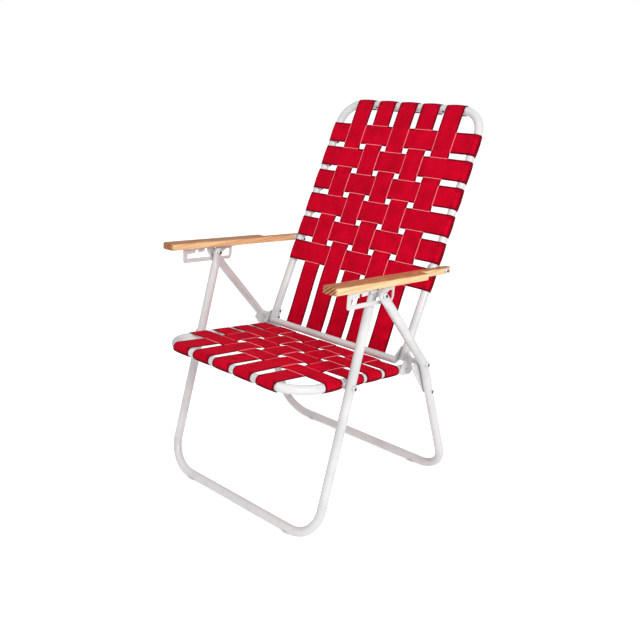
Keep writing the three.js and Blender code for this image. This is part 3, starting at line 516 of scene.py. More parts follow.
def geometry_tree(name, sockets, finish, grow):
    """A tree of Geometry Nodes that ends in plain geometry of one material."""
    nodes = bpy.data.node_groups.new(name, "GeometryNodeTree")
    for socket, kind in sockets.items():
        nodes.interface.new_socket(socket, in_out="INPUT", socket_type=f"NodeSocket{kind}")
    nodes.interface.new_socket("Shape", in_out="OUTPUT", socket_type="NodeSocketGeometry")
    tree = Tree(nodes)
    inputs = tree.add("NodeGroupInput")[:len(sockets)]
    plain = tree.add("GeometryNodeRealizeInstances", {}, {"Geometry": grow(tree, *inputs)})[0]
    painted = tree.add("GeometryNodeSetMaterial", {}, {"Geometry": plain, "Material": finish})[0]
    tree.add("NodeGroupOutput", {}, {"Shape": painted})
    return nodes


def grow_tube(tree, line, corner_radius, tube_radius):
    """Rounds the corners of a bent line and gives it a round section."""
    rounded = tree.add("GeometryNodeFilletCurve", {"mode": "POLY"}, {
        "Curve": line, "Count": BEND_STEPS, "Radius": corner_radius, "Limit Radius": True})[0]
    section = tree.add("GeometryNodeCurvePrimitiveCircle", {}, {
        "Resolution": ROUND_SIDES, "Radius": tube_radius})[0]
    return tree.add("GeometryNodeCurveToMesh", {}, {
        "Curve": rounded, "Profile Curve": section, "Fill Caps": True})[0]


def grow_dots(tree, heads, radius, height):
    """Sets one small dark dot of painted shade and dark reflection on every rivet and bolt head."""
    dot = tree.add("GeometryNodeMeshCylinder", {}, {
        "Vertices": DOT_SIDES, "Radius": radius, "Depth": height})[0]
    sideways = tree.add("GeometryNodeTransform", {}, {
        "Geometry": dot, "Rotation": (0.0, pi / 2, 0.0)})[0]
    return tree.add("GeometryNodeInstanceOnPoints", {}, {"Points": heads, "Instance": sideways})[0]


BENT_TUBE = geometry_tree("bent_tube", {
    "Line": "Geometry", "Corner Radius": "Float", "Tube Radius": "Float"},
    MATERIALS["white_paint"], grow_tube)
HEAD_DOTS = geometry_tree("head_dots", {
    "Heads": "Geometry", "Dot Radius": "Float", "Dot Height": "Float"}, DARK_SPOT_MATERIAL, grow_dots)


def plain_mesh(source):
    """The mesh that an object comes out as. The object itself is removed."""
    bpy.context.view_layer.update()
    evaluated = source.evaluated_get(bpy.context.evaluated_depsgraph_get())
    mesh = bpy.data.meshes.new_from_object(evaluated)
    bpy.data.objects.remove(source)
    return mesh


def apply_tree(source, group, settings):
    """Runs a tree on an object and returns the plain mesh that it makes."""
    modifier = source.modifiers.new("shape", "NODES")
    modifier.node_group = group
    inputs = {item.name: item.identifier for item in group.interface.items_tree if item.in_out == "INPUT"}
    for name, value in settings.items():
        modifier[inputs[name]] = value
    return plain_mesh(source)


def poly_spline(curve, points, closed=False):
    spline = curve.splines.new("POLY")
    spline.points.add(len(points) - 1)
    for point, place in zip(spline.points, points):
        point.co = (*place, 1.0)
    spline.use_cyclic_u = closed


def bent_tube(name, corners, place, corner_radius, tube_radius=TUBE_RADIUS):
    """A tube along a line with rounded corners."""
    line = bpy.data.curves.new(f"{name}_line", "CURVE")
    line.dimensions = "3D"
    poly_spline(line, [place @ Vector(corner) for corner in corners])
    mesh = apply_tree(add_object(f"{name}_line", line), BENT_TUBE, {
        "Corner Radius": corner_radius, "Tube Radius": tube_radius})
    mesh.name = name
    return mesh


def u_frame(half_width, end, crossing):
    """The corner points of a U: up one side, across and down the other."""
    return [(half_width, *end), (half_width, *crossing), (-half_width, *crossing), (-half_width, *end)]


def joined_mesh(name, meshes):
    """Several meshes as one, still without a material."""
    shape = bmesh.new()
    for mesh in meshes:
        shape.from_mesh(mesh)
    joined = bpy.data.meshes.new(name)
    shape.to_mesh(joined)
    shape.free()
    return joined


def join_rings(shape, rings):
    """Joins rings of corners into a closed tube with flat ends."""
    for first, second in zip(rings, rings[1:]):
        for i in range(len(first)):
            j = (i + 1) % len(first)
            shape.faces.new((first[i], first[j], second[j], second[i]))
    shape.faces.new(rings[0][::-1])
    shape.faces.new(rings[-1])


def swept(shape, rings):
    join_rings(shape, [[shape.verts.new(point) for point in ring] for ring in rings])


def full_turn(sides):
    return [2 * pi * i / sides for i in range(sides)]


def carried_frames(stations, normal):
    """Normal and binormal at each station, turned as little as possible from one to the next."""
    last = len(stations) - 1
    frames = []
    before = None
    for i in range(len(stations)):
        tangent = (stations[min(i + 1, last)] - stations[max(i - 1, 0)]).normalized()
        if before is not None:
            normal = before.rotation_difference(tangent) @ normal
        frames.append((normal.normalized(), tangent.cross(normal).normalized()))
        before = tangent
    return frames


def bend(before, corner, after, radius, steps):
    """Stations of the arc that rounds a corner."""
    into = (corner - before).normalized()
    out = (after - corner).normalized()
    angle = into.angle(out)
    side = (out - into * out.dot(into)).normalized()
    centre = corner - into * radius * tan(angle / 2) + side * radius
    return [centre + (into * sin(angle * i / steps) - side * cos(angle * i / steps)) * radius
            for i in range(steps + 1)]


def leg_frame(name, half_width, upwards, knee_at, foot):
    """A leg tube bent into a U, with its two tops pressed flat and rounded."""
    run = Vector((0, *upwards)).normalized()
    top = Vector((half_width, *LEG_TOP))
    flat = LEG_TOP_THICKNESS / 2 / TUBE_RADIUS
    wide = LEG_TOP_RADIUS / TUBE_RADIUS
    ends = []
    for i in range(ARC_STEPS + 1):
        angle = LEG_TOP_CLOSE * (1 - i / ARC_STEPS)
        ends.append((top + run * LEG_TOP_RADIUS * sin(angle), flat, wide * cos(angle)))
    for i in range(ARC_STEPS + 1):
        drop = LEG_TOP_RADIUS + (LEG_PRESS_LENGTH - LEG_TOP_RADIUS) * (i / ARC_STEPS)
        unpressed = eased(i / ARC_STEPS)
        ends.append((top - run * drop, flat + (1 - flat) * unpressed, wide + (1 - wide) * unpressed))
    stations = [end[0] for end in ends]
    corner = Vector((half_width, *foot))
    if knee_at:
        knee = Vector((half_width, *knee_at))
        stations += bend(stations[-1], knee, corner, REAR_LEG_BEND_RADIUS, BEND_STEPS // 2)
    stations += bend(stations[-1], corner, corner - Vector((half_width, 0, 0)), LEG_CORNER_RADIUS, BEND_STEPS)
    shares = [end[1:] for end in ends] + [(1.0, 1.0)] * (len(stations) - len(ends))
    stations += [Vector((-s.x, s.y, s.z)) for s in reversed(stations)]
    shares += list(reversed(shares))
    rings = []
    for station, (thin, broad), (normal, binormal) in zip(stations, shares, carried_frames(stations, X_AXIS)):
        ways = [normal * thin * cos(turn) + binormal * broad * sin(turn) for turn in full_turn(ROUND_SIDES)]
        rings.append([station + way * TUBE_RADIUS for way in ways])
    return mesh_from(name, lambda shape: swept(shape, rings))


def arc(centre, radius, start, end, steps):
    turns = [start + (end - start) * i / steps for i in range(steps + 1)]
    return [Vector((centre[0] + radius * cos(turn), centre[1] + radius * sin(turn))) for turn in turns]


def belt_outline(circles):
    """The outline round circles given counterclockwise as (centre, radius)."""
    def tangent(first, second):
        gap = Vector(second[0]) - Vector(first[0])
        return atan2(gap.y, gap.x) - acos((first[1] - second[1]) / gap.length)

    points = []
    for i, circle in enumerate(circles):
        start = tangent(circles[i - 1], circle)
        end = tangent(circle, circles[(i + 1) % len(circles)])
        while end < start:
            end += 2 * pi
        points += arc(circle[0], circle[1], start, end, ARC_STEPS)
    return points


def ease(shape, rims, edge, steps, profile):
    bmesh.ops.bevel(shape, geom=rims, offset=edge, segments=steps, affect="EDGES", profile=profile)


def slab(shape, outline, thickness, edge, steps, profile):
    """An outline of points carried along a vector, with the rims of its two faces eased."""
    ring = [shape.verts.new(point) for point in outline]
    grown = bmesh.ops.extrude_face_region(shape, geom=[shape.faces.new(ring)])
    moved = [item for item in grown["geom"] if isinstance(item, bmesh.types.BMVert)]
    bmesh.ops.translate(shape, verts=moved, vec=thickness)
    rims = [rim for vert in ring + moved for rim in vert.link_edges
            if abs((rim.verts[0].co - rim.verts[1].co).dot(thickness)) < FIT_GAP * thickness.length]
    ease(shape, list(dict.fromkeys(rims)), edge, steps, profile)


def sheet_metal(shape, outline, inner_x, outer_x, side, place, edge=EDGE_ROUND):
    """A flat piece: an outline in the side view, between two places along X, with its edges eased."""
    slab(shape, [(side * inner_x, *point) for point in outline],
         X_AXIS * side * (outer_x - inner_x), edge, EDGE_STEPS, SHEET_EDGE_PROFILE)
    bmesh.ops.transform(shape, matrix=place, verts=shape.verts)


def sheet_pair(name, node, body, outline, inner, outer, place, edge=EDGE_ROUND, slot="white_paint"):
    """A flat piece on each side of the chair. {} in a name stands for the side."""
    for word, side in SIDES.items():
        mesh = mesh_from(name.format(word), lambda shape: sheet_metal(
            shape, outline, inner, outer, side, place, edge))
        finish_piece(mesh, body, node.format(word), slot)


def turned(shape, steps, side, centre, place=CHAIR_FRAME):
    """A turned piece along X, from pairs of radius and place, on one side of the chair."""
    y, z = centre
    swept(shape, [[place @ Vector((side * x, y + radius * cos(turn), z + radius * sin(turn)))
                   for turn in full_turn(TURNED_SIDES)] for radius, x in steps])


def dome(face_x, way, head):
    """The steps of a domed head that grows from the face that it lies on."""
    radius, height = head
    steps = [(radius * HEAD_FOOT_SHARE, face_x), (radius, face_x + way * height * HEAD_RIM_SHARE)]
    for i in range(1, HEAD_STEPS + 1):
        rise = HEAD_RIM_SHARE + (1 - HEAD_RIM_SHARE) * sin(HEAD_STEP_ANGLE * i)
        steps.append((radius * cos(HEAD_STEP_ANGLE * i), face_x + way * height * rise))
    return steps[::way]


head_points = {}


def add_head_dots():
    """The dark dots of painted shade on all the heads noted so far, one piece for each body."""
    for body, points in head_points.items():
        mesh = bpy.data.meshes.new(f"heads_{body}")
        mesh.from_pydata(points, [], [])
        dots = apply_tree(add_object(f"heads_{body}", mesh), HEAD_DOTS, {
            "Dot Radius": DOT_RADIUS, "Dot Height": DOT_HEIGHT})
        dots.name = f"head_dots_{body}"
        carry(dots, body)


def turned_pair(name, body, centre, shanks, heads=(INNER, OUTER), dots=None, head=BOLT_HEAD,
                place=CHAIR_FRAME, slot="steel"):
    """A turned piece on each side of the chair, from a radius and two places along X for each shank.

    Each head has a dot of painted shade, unless dots says which. {} in a body stands for the side.
    """
    steps = [(radius, x) for radius, *places in shanks for x in places]
    ends = {INNER: steps[0][1], OUTER: steps[-1][1]}
    if INNER in heads:
        steps = dome(ends[INNER], INNER, head) + steps
    if OUTER in heads:
        steps += dome(ends[OUTER], OUTER, head)
    for word, side in SIDES.items():
        rider = body.format(word)
        mesh = mesh_from(f"{name}_{word}_piece", lambda shape: turned(shape, steps, side, centre, place))
        finish_piece(mesh, rider, f"{name}_{word}", slot)
        for way in heads if dots is None else dots:
            top = Vector((side * (ends[way] + way * head[1]), *centre))
            head_points.setdefault(rider, []).append(place @ top)


def eased(share):
    share = min(max(share, 0.0), 1.0)
    return share * share * (3 - 2 * share)


class StripLine:
    """A strip seen from the side: where it is, how far it swells, if it crosses, and how far it is bent away round
    a tube, which sets its painted shade.
    """

    def __init__(self, crossings, lifts):
        self.crossings = crossings
        self.lifts = lifts
        self.stations = []

    def add(self, along, height, swell=0.0, crossed=0.0, bent=0.0):
        self.stations.append((along, height, swell, crossed, bent))

    def wrap(self, centre, height, radius, outward, away_from):
        """Half a turn round a bar, from its upper side, then a short tail under it."""
        for i in range(WRAP_STEPS + 1):
            turn = pi * i / WRAP_STEPS
            # Past away_from, bent grows from 0 to 1: the painted shade of the cloth that turns away round the bar;
            # the tail is fully shaded.
            self.add(centre + outward * radius * sin(turn), height + radius * cos(turn),
                     WRAP_PILLOW * sin(turn), bent=eased((turn - away_from) / AWAY_SPREAD))
        self.add(centre - outward * WEB_TAIL, height - radius, bent=1.0)

    def weave(self, first, last, start_lift, end_lift):
        """Over and under each crossing, level on it and eased between them."""
        half = WEB_WIDTH / 2
        knots = [(first, start_lift)]
        for crossing, lift in zip(self.crossings, self.lifts):
            knots += [(crossing - half, lift), (crossing + half, lift)]
        knots.append((last, end_lift))
        steps = round((last - first) / WEB_STEP)
        for i in range(1, steps):
            along = first + (last - first) * i / steps
            (start, low), (end, high) = next(pair for pair in zip(knots, knots[1:]) if along <= pair[1][0])
            lift = low + (high - low) * eased((along - start) / max(end - start, FIT_GAP))
            reach, side = min((abs(along - crossing) / half, lift)
                              for crossing, lift in zip(self.crossings, self.lifts))
            swell = copysign(cos(min(reach, 1.0) * pi / 2), side)
            self.add(along, WRAP_RADIUS + lift, swell * WEB_PILLOW, float(reach < 1))


def web_strip(body, number, line, lay, offset):
    """A strip of webbing of even thickness along a line, drawn in a little at the ends of its tails."""
    place, along_axis, up_axis, across_axis = lay
    turn = place.to_3x3()
    spots = [along_axis * station[0] + up_axis * station[1] for station in line.stations]
    points = [place @ (across_axis * offset + spot) for spot in spots]
    lengths = [0.0]
    for first, second in zip(points, points[1:]):
        lengths.append(lengths[-1] + (second - first).length)
    half = WEB_WIDTH / 2
    upper = [-half + WEB_WIDTH * i / WEB_ACROSS for i in range(WEB_ACROSS + 1)]
    crossings, turn_shades = [], []

    def build(shape):
        layer = shape.loops.layers.uv.new("strip")
        uvs = {}
        rings = []
        for i, (_, _, swell, crossed, bent) in enumerate(line.stations):
            ahead = spots[min(i + 1, len(spots) - 1)] - spots[max(i - 1, 0)]
            face = (turn @ (up_axis * ahead.dot(along_axis) - along_axis * ahead.dot(up_axis))).normalized()
            along = lengths[i]
            width = turn @ across_axis * (WEB_TAIL_SHARE if along in (0.0, lengths[-1]) else 1.0)
            ring = []
            for level, row in ((0.5, upper), (-0.5, upper[::-1])):
                for across in row:
                    crown = swell * (1 - (across / half) ** 2)
                    raised = face * (level * WEB_THICKNESS + crown)
                    vert = shape.verts.new(points[i] + width * across + raised)
                    uvs[vert] = (across, min(along, lengths[-1] - along))
                    ring.append(vert)
            crossings.extend([crossed] * len(ring))
            turn_shades.extend([bent] * len(ring))
            rings.append(ring)
        join_rings(shape, rings)
        for quad in shape.faces:
            for loop in quad.loops:
                loop[layer].uv = uvs[loop.vert]

    mesh = mesh_from(f"{body}_strip_{number}", build)
    # The second attribute holds how much painted shade each point of a wrap gets.
    for label, values in (("on_crossing", crossings), ("turned_away_shade", turn_shades)):
        mesh.attributes.new(label, "FLOAT", "POINT").data.foreach_set("value", values)
    piece = finish_piece(mesh, body, f"{body}_web_{number}", "webbing")


def long_lift(column, row, first):
    """A strip that runs the long way passes over every second one that it crosses."""
    return WEAVE_RISE if (column + row) % 2 == first else -WEAVE_RISE


def cross_strips(body, rows, first, half_width, lay, away_from):
    """The strips that run from one side tube to the other."""
    for row, place in enumerate(rows):
        line = StripLine(WEB_COLUMNS, [-long_lift(column, row, first) for column in range(len(WEB_COLUMNS))])
        line.wrap(-half_width, 0.0, WRAP_RADIUS, -1, away_from)
        line.stations.reverse()
        line.weave(-half_width, half_width, 0.0, 0.0)
        line.wrap(half_width, 0.0, WRAP_RADIUS, 1, away_from)
        web_strip(body, f"cross_{row + 1}", line, lay, place)


def seat_strips():
    for column, x in enumerate(WEB_COLUMNS):
        lifts = [long_lift(column, row, 1) for row in range(len(SEAT_ROWS))]
        line = StripLine(SEAT_ROWS, lifts)
        line.wrap(0.0, 0.0, WRAP_RADIUS, -1, SEAT_AWAY_FROM)
        line.stations.reverse()
        line.weave(0.0, SEAT_BAR_PLACE, 0.0, lifts[-1])
        line.wrap(SEAT_BAR_PLACE, SEAT_BAR_RISE, WRAP_RADIUS + lifts[-1] - SEAT_BAR_RISE, 1, SEAT_AWAY_FROM)
        web_strip("seat", f"long_{column + 1}", line, SEAT_LONG, x)
    cross_strips("seat", SEAT_ROWS, 1, SEAT_HALF_WIDTH, SEAT_CROSS, SEAT_AWAY_FROM)


def back_strips():
    behind_bar = BACK_BAR_FORWARD - BACK_BAR_RADIUS - FIT_GAP - WEB_THICKNESS / 2
    bar_top = -BACK_BAR_DROP + BACK_BAR_RADIUS
    for column, x in enumerate(WEB_COLUMNS):
        lifts = [long_lift(column, row, 0) for row in range(len(BACK_ROWS))]
        line = StripLine(BACK_ROWS[::-1], lifts[::-1])
        line.add(bar_top - 2 * BACK_BAR_RADIUS, behind_bar)
        line.add(bar_top, behind_bar)
        line.weave(bar_top, BACK_LENGTH, behind_bar - WRAP_RADIUS, 0.0)
        line.wrap(BACK_LENGTH, 0.0, WRAP_RADIUS, 1, TOP_AWAY_FROM)
        web_strip("back", f"long_{column + 1}", line, BACK_LONG, x)
    cross_strips("back", BACK_ROWS, 0, BACK_HALF_WIDTH, BACK_CROSS, BACK_AWAY_FROM)


def tube_frames():
    corners = u_frame(SEAT_HALF_WIDTH, (SEAT_RAIL_LENGTH, 0), (0, 0))
    finish_piece(bent_tube("seat_frame", corners, SEAT_FRAME, SEAT_CORNER_RADIUS), "seat", "seat_frame_tube")
    corners = u_frame(BACK_HALF_WIDTH, (0, -BACK_TUBE_TAIL), (0, BACK_LENGTH))
    finish_piece(bent_tube("back_frame", corners, BACK_FRAME, BACK_CORNER_RADIUS), "back", "back_frame_tube")
    bar_end = SEAT_HALF_WIDTH - TUBE_RADIUS + SEAT_BAR_INSET
    ends = [(side * bar_end, SEAT_BAR_PLACE, SEAT_BAR_RISE) for side in SIDES.values()]
    bar = bent_tube("seat_bar", ends, SEAT_FRAME, SEAT_CORNER_RADIUS, SEAT_BAR_RADIUS)
    finish_piece(bar, "seat", "seat_rear_bar")
    front = leg_frame("front_legs_tube", FRONT_LEG_HALF_WIDTH, LEG_TOP - FRONT_FOOT, None, FRONT_FOOT)
    finish_piece(front, "front_legs", "front_leg_tube")
    rear = leg_frame("rear_legs_tube", REAR_LEG_HALF_WIDTH, LEG_TOP - HINGE, HINGE, REAR_FOOT)
    finish_piece(rear, "rear_legs", "rear_leg_tube")


def top_dark_domes():
    """Two small dark domes low on the front of the top bar, inside its outermost strips, where the bar shows two
    dark spots.
    """
    x = (WEB_COLUMNS[-1] + WEB_COLUMNS[-2]) / 2
    facing = Matrix.Rotation(TOP_DOME_TURN, 4, "X") @ Matrix.Rotation(-pi / 2, 4, "Z")
    steps = dome(TUBE_RADIUS, OUTER, TOP_DOME_HEAD)
    for word, side in SIDES.items():
        place = BACK_FRAME @ Matrix.Translation((side * x, 0, BACK_LENGTH)) @ facing
        mesh = mesh_from(f"top_dome_{word}", lambda shape: turned(shape, steps, 1, (0, 0), place))
        mesh.materials.append(DARK_SPOT_MATERIAL)
        smooth_by_angle(mesh)
        carry(mesh, "back")


def lower_bar():
    """The bar across the foot of the back, with its ends pressed into tabs on the tubes."""
    inner = BACK_INNER_X - BACK_TAB_THICKNESS
    centre = (-BACK_BAR_FORWARD, -BACK_BAR_DROP)
    rod = bent_tube("lower_bar_rod", [(-inner, *centre), (inner, *centre)], BACK_FRAME, SEAT_CORNER_RADIUS,
                    BACK_BAR_RADIUS)
    outline = belt_outline([
        (centre, BACK_BAR_RADIUS), ((0.0, -BACK_TUBE_TAIL + BACK_TAB_NOSE), BACK_TAB_NOSE),
        ((0.0, BACK_TAB_HEIGHT - BACK_TAB_NOSE), BACK_TAB_NOSE)])
    tabs = [mesh_from("tab", lambda shape: sheet_metal(shape, outline, inner, BACK_INNER_X, side, BACK_FRAME))
            for side in SIDES.values()]
    finish_piece(joined_mesh("lower_bar", [rod, *tabs]), "back", "back_lower_bar")
    turned_pair("back_bar_rivet", "back", (0.0, BACK_TAB_RIVET_UP), [
        (RIVET_RADIUS, inner - FIT_GAP, BACK_INNER_X + BLIND_RIVET_DEPTH)],
        [INNER], head=RIVET_HEAD, place=BACK_FRAME)


def shouldered(inner, shoulder_end, outer):
    """The shanks of a bolt with a shoulder from the webbing outwards."""
    return [(BOLT_RADIUS, inner, WEB_OUTER_X), (SHOULDER_RADIUS, WEB_OUTER_X, shoulder_end),
            (BOLT_RADIUS, shoulder_end, outer)]


def hinge_parts():
    """The plates on the seat's rails, and what fastens the hinge and the seat's pivots."""
    lobe = SEAT_FRAME.inverted() @ Vector((0, *HINGE))
    outline = belt_outline([
        ((PLATE_FRONT_PLACE, 0.0), PLATE_RAIL_RADIUS), ((PLATE_REAR_PLACE, 0.0), PLATE_RAIL_RADIUS),
        (lobe.yz, PLATE_LOBE_RADIUS)])
    sheet_pair("hinge_plate_{}_piece", "hinge_plate_{}", "seat", outline,
               PLATE_INNER_X, PLATE_OUTER_X, SEAT_FRAME)
    plate_face = PLATE_OUTER_X + FIT_GAP
    turned_pair("hinge_spacer", "seat", HINGE, [(SPACER_RADIUS, plate_face, STRAP_INNER_X - FIT_GAP)],
                heads=(), slot="white_paint")
    turned_pair("hinge_plate_rivet", "seat", (PLATE_RIVET_PLACE, 0.0), [
        (RIVET_RADIUS, PLATE_INNER_X - BLIND_RIVET_DEPTH, plate_face)], [OUTER], (), RIVET_HEAD, SEAT_FRAME)
    inner = BACK_INNER_X - BACK_TAB_THICKNESS - FIT_GAP
    turned_pair("hinge_bolt", "hinge_bolts", HINGE, [(BOLT_RADIUS, inner, REAR_LEG_OUTER_X)])
    rail_inner = SEAT_HALF_WIDTH - TUBE_RADIUS - FIT_GAP
    leg_inner = FRONT_LEG_HALF_WIDTH - TUBE_RADIUS - FIT_GAP
    leg_outer = FRONT_LEG_HALF_WIDTH + TUBE_RADIUS + FIT_GAP
    turned_pair("seat_pivot_bolt", "seat", SEAT_PIVOT, shouldered(rail_inner, leg_inner, leg_outer),
                dots=[OUTER])


def leg_parts():
    """The straps, rivets and pins of the legs."""
    rivet = HINGE + (REAR_FOOT - HINGE).normalized() * STRAP_RIVET_DOWN
    corner = HINGE - Vector((STRAP_FRONT_REACH, STRAP_FRONT_DROP))
    outline = belt_outline([(spot, STRAP_WIDTH / 2) for spot in (HINGE, corner, rivet)])
    sheet_pair("leg_strap_{}", "rear_leg_strap_{}", "rear_legs", outline,
               STRAP_INNER_X, STRAP_OUTER_X, CHAIR_FRAME)
    turned_pair("rear_leg_strap_rivet", "rear_legs", rivet, [
        (RIVET_RADIUS, STRAP_INNER_X - FIT_GAP, REAR_LEG_OUTER_X)], dots=[OUTER], head=RIVET_HEAD)
    half = LEG_TOP_THICKNESS / 2
    turned_pair("rear_leg_top_rivet", "rear_legs", LEG_TOP, [
        (BOLT_RADIUS, REAR_LEG_HALF_WIDTH - half + FIT_GAP, REAR_LEG_HALF_WIDTH + half + FIT_GAP)], [OUTER])
    shoulder = FRONT_LEG_HALF_WIDTH + half + FIT_GAP
    neck = BRACKET_INNER_X - FIT_GAP
    turned_pair("locking_pin", "front_legs", LEG_TOP, [
        (BOLT_RADIUS, FRONT_LEG_HALF_WIDTH - half - FIT_GAP, shoulder), (SHOULDER_RADIUS, shoulder, neck),
        (BOLT_RADIUS, neck, REAR_LEG_HALF_WIDTH - half - FIT_GAP)], [INNER])


def glides():
    """Plastic clips round the floor bars, cut level where they stand."""
    inner = TUBE_RADIUS + FIT_GAP
    outer = inner + GLIDE_WALL
    sole = acos(FLOOR_BAR_HEIGHT / outer)
    down = -pi / 2
    first, last = down + GLIDE_OPEN_ANGLE, down - GLIDE_OPEN_ANGLE
    outline = (arc((0, 0), outer, down + sole, first, ARC_STEPS)
               + arc((0, 0), inner, first, last, 2 * ARC_STEPS)
               + arc((0, 0), outer, last, down - sole, ARC_STEPS))
    for end, x, foot in (("front", FRONT_GLIDE_X, FRONT_FOOT), ("rear", REAR_GLIDE_X, REAR_FOOT)):
        sheet_pair(end + "_glide_{}_piece", end + "_glide_{}", end + "_legs", outline,
                   x - GLIDE_LENGTH / 2, x + GLIDE_LENGTH / 2, Matrix.Translation((0, *foot)),
                   GLIDE_EDGE_ROUND, "glide")


def arms():
    for word, side in SIDES.items():
        mesh = mesh_from(f"arm_board_{word}", lambda shape: arm_board(shape, side))
        mark_faces(mesh)
        mesh.transform(ARM_FRAME)
        finish_piece(mesh, f"arm_{word}", f"arm_wood_{word}", "wood")
    board_inner = ARM_CENTRE - ARM_WIDTH / 2 - FIT_GAP
    board_outer = ARM_CENTRE + ARM_WIDTH / 2 - ARM_RECESS_DEPTH + FIT_GAP
    turned_pair("arm_bolt", "arm_bolt_{}", (0.0, 0.0), shouldered(BACK_INNER_X, board_inner, board_outer),
                place=ARM_FRAME)


def rounded(corners, radii):
    """An outline with each corner rounded to its own radius."""
    points = []
    for i, (corner, radius) in enumerate(zip(corners, radii)):
        before, after = corners[i - 1], corners[(i + 1) % len(corners)]
        arc_points = bend(before.to_3d(), corner.to_3d(), after.to_3d(), radius, ARC_STEPS // 2)
        points += [point.to_2d() for point in arc_points]
    return points


def cut_plate(outline, hole, middle_x):
    """The bracket's upright plate with its slot, its edges eased all round."""
    drawing = bpy.data.curves.new("plate", "CURVE")
    drawing.dimensions = "2D"
    drawing.fill_mode = "BOTH"
    drawing.extrude = BRACKET_THICKNESS / 2 - EDGE_ROUND
    drawing.bevel_depth = EDGE_ROUND
    drawing.bevel_resolution = EDGE_STEPS
    drawing.offset = -EDGE_ROUND
    for ring in (outline, hole):
        poly_spline(drawing, [corner.to_3d() for corner in ring], closed=True)
    mesh = plain_mesh(add_object("plate", drawing))
    mesh.transform(Matrix(((0, 0, 1, middle_x), (1, 0, 0, 0), (0, 1, 0, 0), (0, 0, 0, 1))))
    return mesh


def slot_corners(pin):
    """The slot that the locking pin runs in: a falling band with notches above it, and a dip round a lobe."""
    half = BOLT_RADIUS + SLOT_CLEARANCE
    top = pin.y + half
    bottom = pin.y - half - SLOT_SAG
    front, rear = pin.x - SLOT_AHEAD, pin.x + SLOT_BEHIND
    lobe_front, lobe_rear = pin.x + LOBE_AHEAD, pin.x + LOBE_BEHIND
    window = pin.y - half - WINDOW_SAG

    def roof(y):
        return y, top - SLOT_DROP * max(0.0, pin.x - y) / SLOT_AHEAD

    corners = [roof(front)]
    for i in range(NOTCHES - 1, -1, -1):
        middle = pin.x - i * NOTCH_PITCH
        notch_top = roof(middle)[1] + NOTCH_RISE
        corners += [roof(middle - half), (middle - half, notch_top),
                    (middle + half, notch_top), roof(middle + half)]
    corners += [(lobe_front, top), (lobe_front + LOBE_TAPER, top - LOBE_DROP),
                (lobe_rear - LOBE_REAR_TAPER, top - LOBE_DROP), (lobe_rear, top),
                (rear, top), (rear, window), (pin.x - WINDOW_AHEAD, window),
                (pin.x - WINDOW_AHEAD, bottom), (front, bottom)]
    return [Vector(corner) for corner in corners]


def arm_brackets():
    """Under each arm, a flange and an upright plate with the slot for the locking pin."""
    pin = (ARM_FRAME.inverted() @ Vector((0, *LEG_TOP))).yz
    flange_top = -ARM_THICKNESS / 2 - FIT_GAP
    front, rear = pin.x - BRACKET_AHEAD, pin.x + BRACKET_BEHIND
    bottom = -ARM_THICKNESS / 2 - BRACKET_HEIGHT
    corners = [Vector(corner) for corner in (
        (front, flange_top), (front, bottom), (rear - BRACKET_CUT_CORNER / 2, bottom),
        (rear, bottom + BRACKET_CUT_CORNER), (rear, flange_top))]
    slim, wide = 2 * EDGE_ROUND, BRACKET_CORNER_RADIUS
    outline = rounded(corners, (slim, wide, wide / 2, wide / 2, slim))
    notched = slot_corners(pin)
    hole = rounded(notched, [SLOT_ROUND] * len(notched))
    outer_x = BRACKET_INNER_X + BRACKET_THICKNESS
    flange_x = outer_x - FLANGE_WIDTH - BRACKET_THICKNESS
    for word, side in SIDES.items():
        plate = cut_plate(outline, hole, side * (BRACKET_INNER_X + BRACKET_THICKNESS / 2))
        low = Vector((side * flange_x, front, flange_top - FLANGE_THICKNESS))
        high = Vector((side * outer_x, rear, flange_top))
        flange = mesh_from("flange", lambda shape: flat_bar(shape, low, high))
        bracket = joined_mesh(f"slot_bracket_{word}", [plate, flange])
        bracket.transform(ARM_FRAME)
        finish_piece(bracket, f"arm_{word}", f"arm_bracket_{word}")


def flat_bar(shape, low, high):
    """A straight bar of square section between two corners, its edges eased."""
    made = bmesh.ops.create_cube(shape, size=1.0)
    bmesh.ops.scale(shape, vec=high - low, verts=made["verts"])
    bmesh.ops.translate(shape, vec=(low + high) / 2, verts=made["verts"])
    ease(shape, shape.edges[:], EDGE_ROUND, EDGE_STEPS, ROUND_EDGE_PROFILE)


def arm_board(shape, side):
    """A board with rounded corners, its outer face cut back at the rear, and its edges eased."""
    half = ARM_WIDTH / 2
    front, rear = -ARM_FRONT_REACH, ARM_REAR_REACH
    cut_back = half - ARM_RECESS_DEPTH
    radius = ARM_CORNER_RADIUS

    def corner(x, y, start):
        return arc((x, y), radius, start, start + pi / 2, ARM_CORNER_STEPS)

    outline = (corner(half - radius, front + radius, -pi / 2)
               + [Vector((half, rear - ARM_RECESS_LENGTH)), Vector((cut_back, rear - ARM_RECESS_LENGTH))]
               + corner(cut_back - radius, rear - radius, 0.0)
               + corner(radius - half, rear - radius, pi / 2)
               + corner(radius - half, front + radius, pi))
    slab(shape, [(side * (ARM_CENTRE + p.x), p.y, -ARM_THICKNESS / 2) for p in outline],
         Z_AXIS * ARM_THICKNESS, ARM_EDGE_ROUND, ARM_EDGE_STEPS, ROUND_EDGE_PROFILE)


def mark_faces(mesh):
    """Marks how far each point belongs to a board's top, which takes the painted shade, and to its front end."""
    top = mesh.attributes.new("painted_shade_top", "FLOAT", "POINT")
    end = mesh.attributes.new("end_face", "FLOAT", "POINT")
    for i, vert in enumerate(mesh.vertices):
        top.data[i].value = eased((vert.co.z - ARM_THICKNESS / 2 + ARM_EDGE_ROUND) / ARM_EDGE_ROUND)
        end.data[i].value = 1 - eased((vert.co.y + ARM_FRONT_REACH) / ARM_CORNER_RADIUS)


